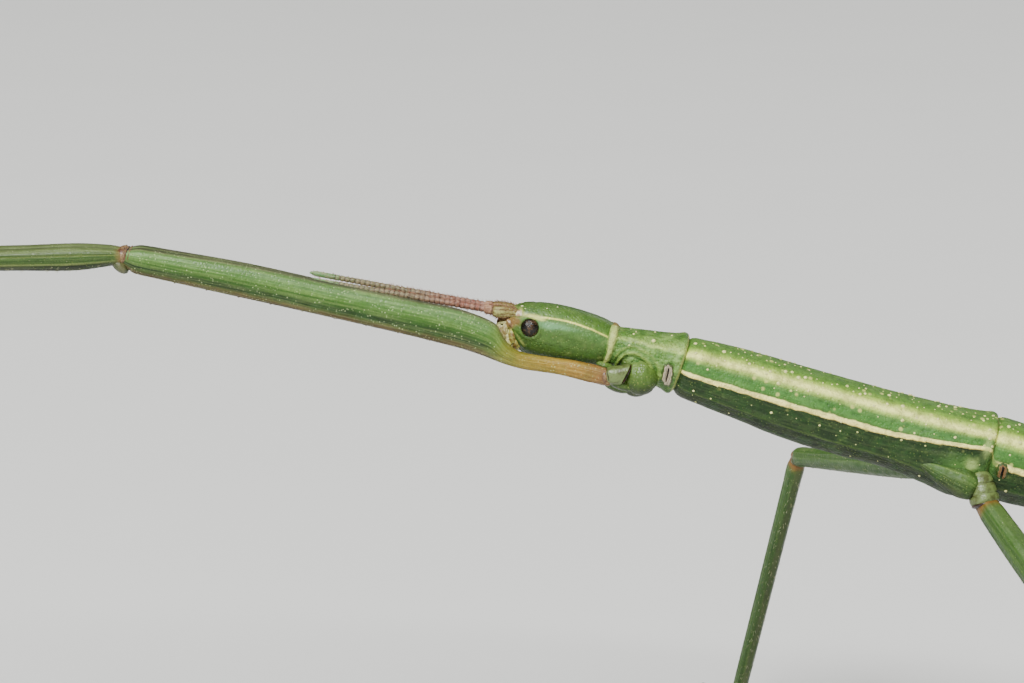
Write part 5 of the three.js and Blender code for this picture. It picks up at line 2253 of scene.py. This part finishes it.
@dataclass(frozen=True)
class Studio:
    """Pale floor, soft lights and the camera; sizes in metres, each lamp's power in watts."""

    floor_half: float = 3.0
    floor_colour: Colour = (226, 226, 222)
    floor_cloud: Colour = (222, 222, 218)
    sky: Row = (0.92, 0.95, 1.0, 1.0)
    sky_strength: float = 0.14
    elevation: float = 12.0
    distance: float = 0.24
    lens: float = 156.25
    sensor: float = 36.0
    clip: Pair = (0.01, 20.0)
    offset: Triple = (-0.84, 0.0, -0.99)
    # Lamps: name, place from the target, side and power.
    lamps: tuple[tuple[str, Triple, float, float], ...] = (
        ("key", (-0.3, -0.85, 1.0), 0.62, 42.0),
        ("fill", (-0.9, -1.26, 0.5), 1.2, 3.0),
        ("back", (0.75, 1.1, 0.9), 1.0, 6.0),
    )

    def build(self) -> None:
        """Sets up everything round the model."""
        along, _, up = EYE_CENTRE
        target = TO_ROW @ (Trunk.beside("head", along, 0, up) + Vector(self.offset))
        self.floor()
        self.camera(target)
        for lamp in self.lamps:
            self.light(target, *lamp)
        world = bpy.data.worlds.new("studio")
        world.use_nodes = True
        background = world.node_tree.nodes["Background"]
        background.inputs["Color"].default_value = self.sky
        background.inputs["Strength"].default_value = self.sky_strength
        bpy.context.scene.world = world

    def floor(self) -> None:
        """The pale floor."""
        bm = bmesh.new()
        bmesh.ops.create_grid(bm, x_segments=2, y_segments=2, size=self.floor_half)
        mesh = meshed("floor", bm)
        shade = Shade("floor_paper", linear)
        drift = shade.speckle(40, 3)
        colour = shade.mix(drift, self.floor_colour, self.floor_cloud)
        mesh.materials.append(shade.finish(colour, 0.8, drift, 0.01))
        placed("floor", mesh)

    def camera(self, target: Vector) -> None:
        """Aims the camera.

        Args:
            target: what it looks at, in metres.
        """
        lens = bpy.data.cameras.new("camera")
        lens.lens = self.lens
        lens.sensor_width = self.sensor
        lens.clip_start, lens.clip_end = self.clip
        rise = math.radians(self.elevation)
        camera = placed("camera", lens)
        camera.location = target + Vector((0, -math.cos(rise), math.sin(rise))) * self.distance
        camera.rotation_euler = (math.radians(90 - self.elevation), 0, 0)
        bpy.context.scene.camera = camera

    def light(self, target: Vector, name: str, place: Triple, size: float, power: float) -> None:
        """Hangs one soft square light.

        Args:
            target: what it faces.
            name: its name.
            place: where it hangs from the target.
            size: its side.
            power: its power.
        """
        lamp = bpy.data.lights.new(name, "AREA")
        lamp.shape = "SQUARE"
        lamp.size = size
        lamp.energy = power
        holder = placed(name, lamp)
        holder.location = target + Vector(place)
        holder.rotation_euler = Vector(place).to_track_quat("Z", "Y").to_euler()


def main() -> None:
    """Builds the animal, its legs, its tail and the studio, in that order."""
    logging.basicConfig(level=logging.INFO, format="%(name)s %(message)s")
    TrunkWork().build()
    HeadWork().build()
    palette = LegPalette()
    ForeLeg(Side.LEFT, palette, pitch=14.3, droop=0.8, drop=0.0).build()
    ForeLeg(Side.RIGHT, palette, pitch=14.9, droop=1.4, drop=0.6).build()
    # Hip beside the trunk; the thigh's swing to the tail and lift, and the shin's swing, in degrees.
    stances = (
        (Side.LEFT, MIDDLE, (1.45, 2.35, -2.15), (29, -31.5), 4),
        (Side.RIGHT, MIDDLE, (-0.3, 2.75, -1.9), (-24.4, -10.3), -25),
        (Side.LEFT, HIND, (0.9, 2.6, -2.2), (46, 3), 50),
        (Side.RIGHT, HIND, (0.9, 2.6, -2.2), (34, 6), 30),
    )
    for side, rank, hip, thigh, shin in stances:
        StandingLeg(side, rank, palette, hip, thigh, shin).build()
    TailWork().build()
    Studio().build()


if __name__ == "__main__":
    main()
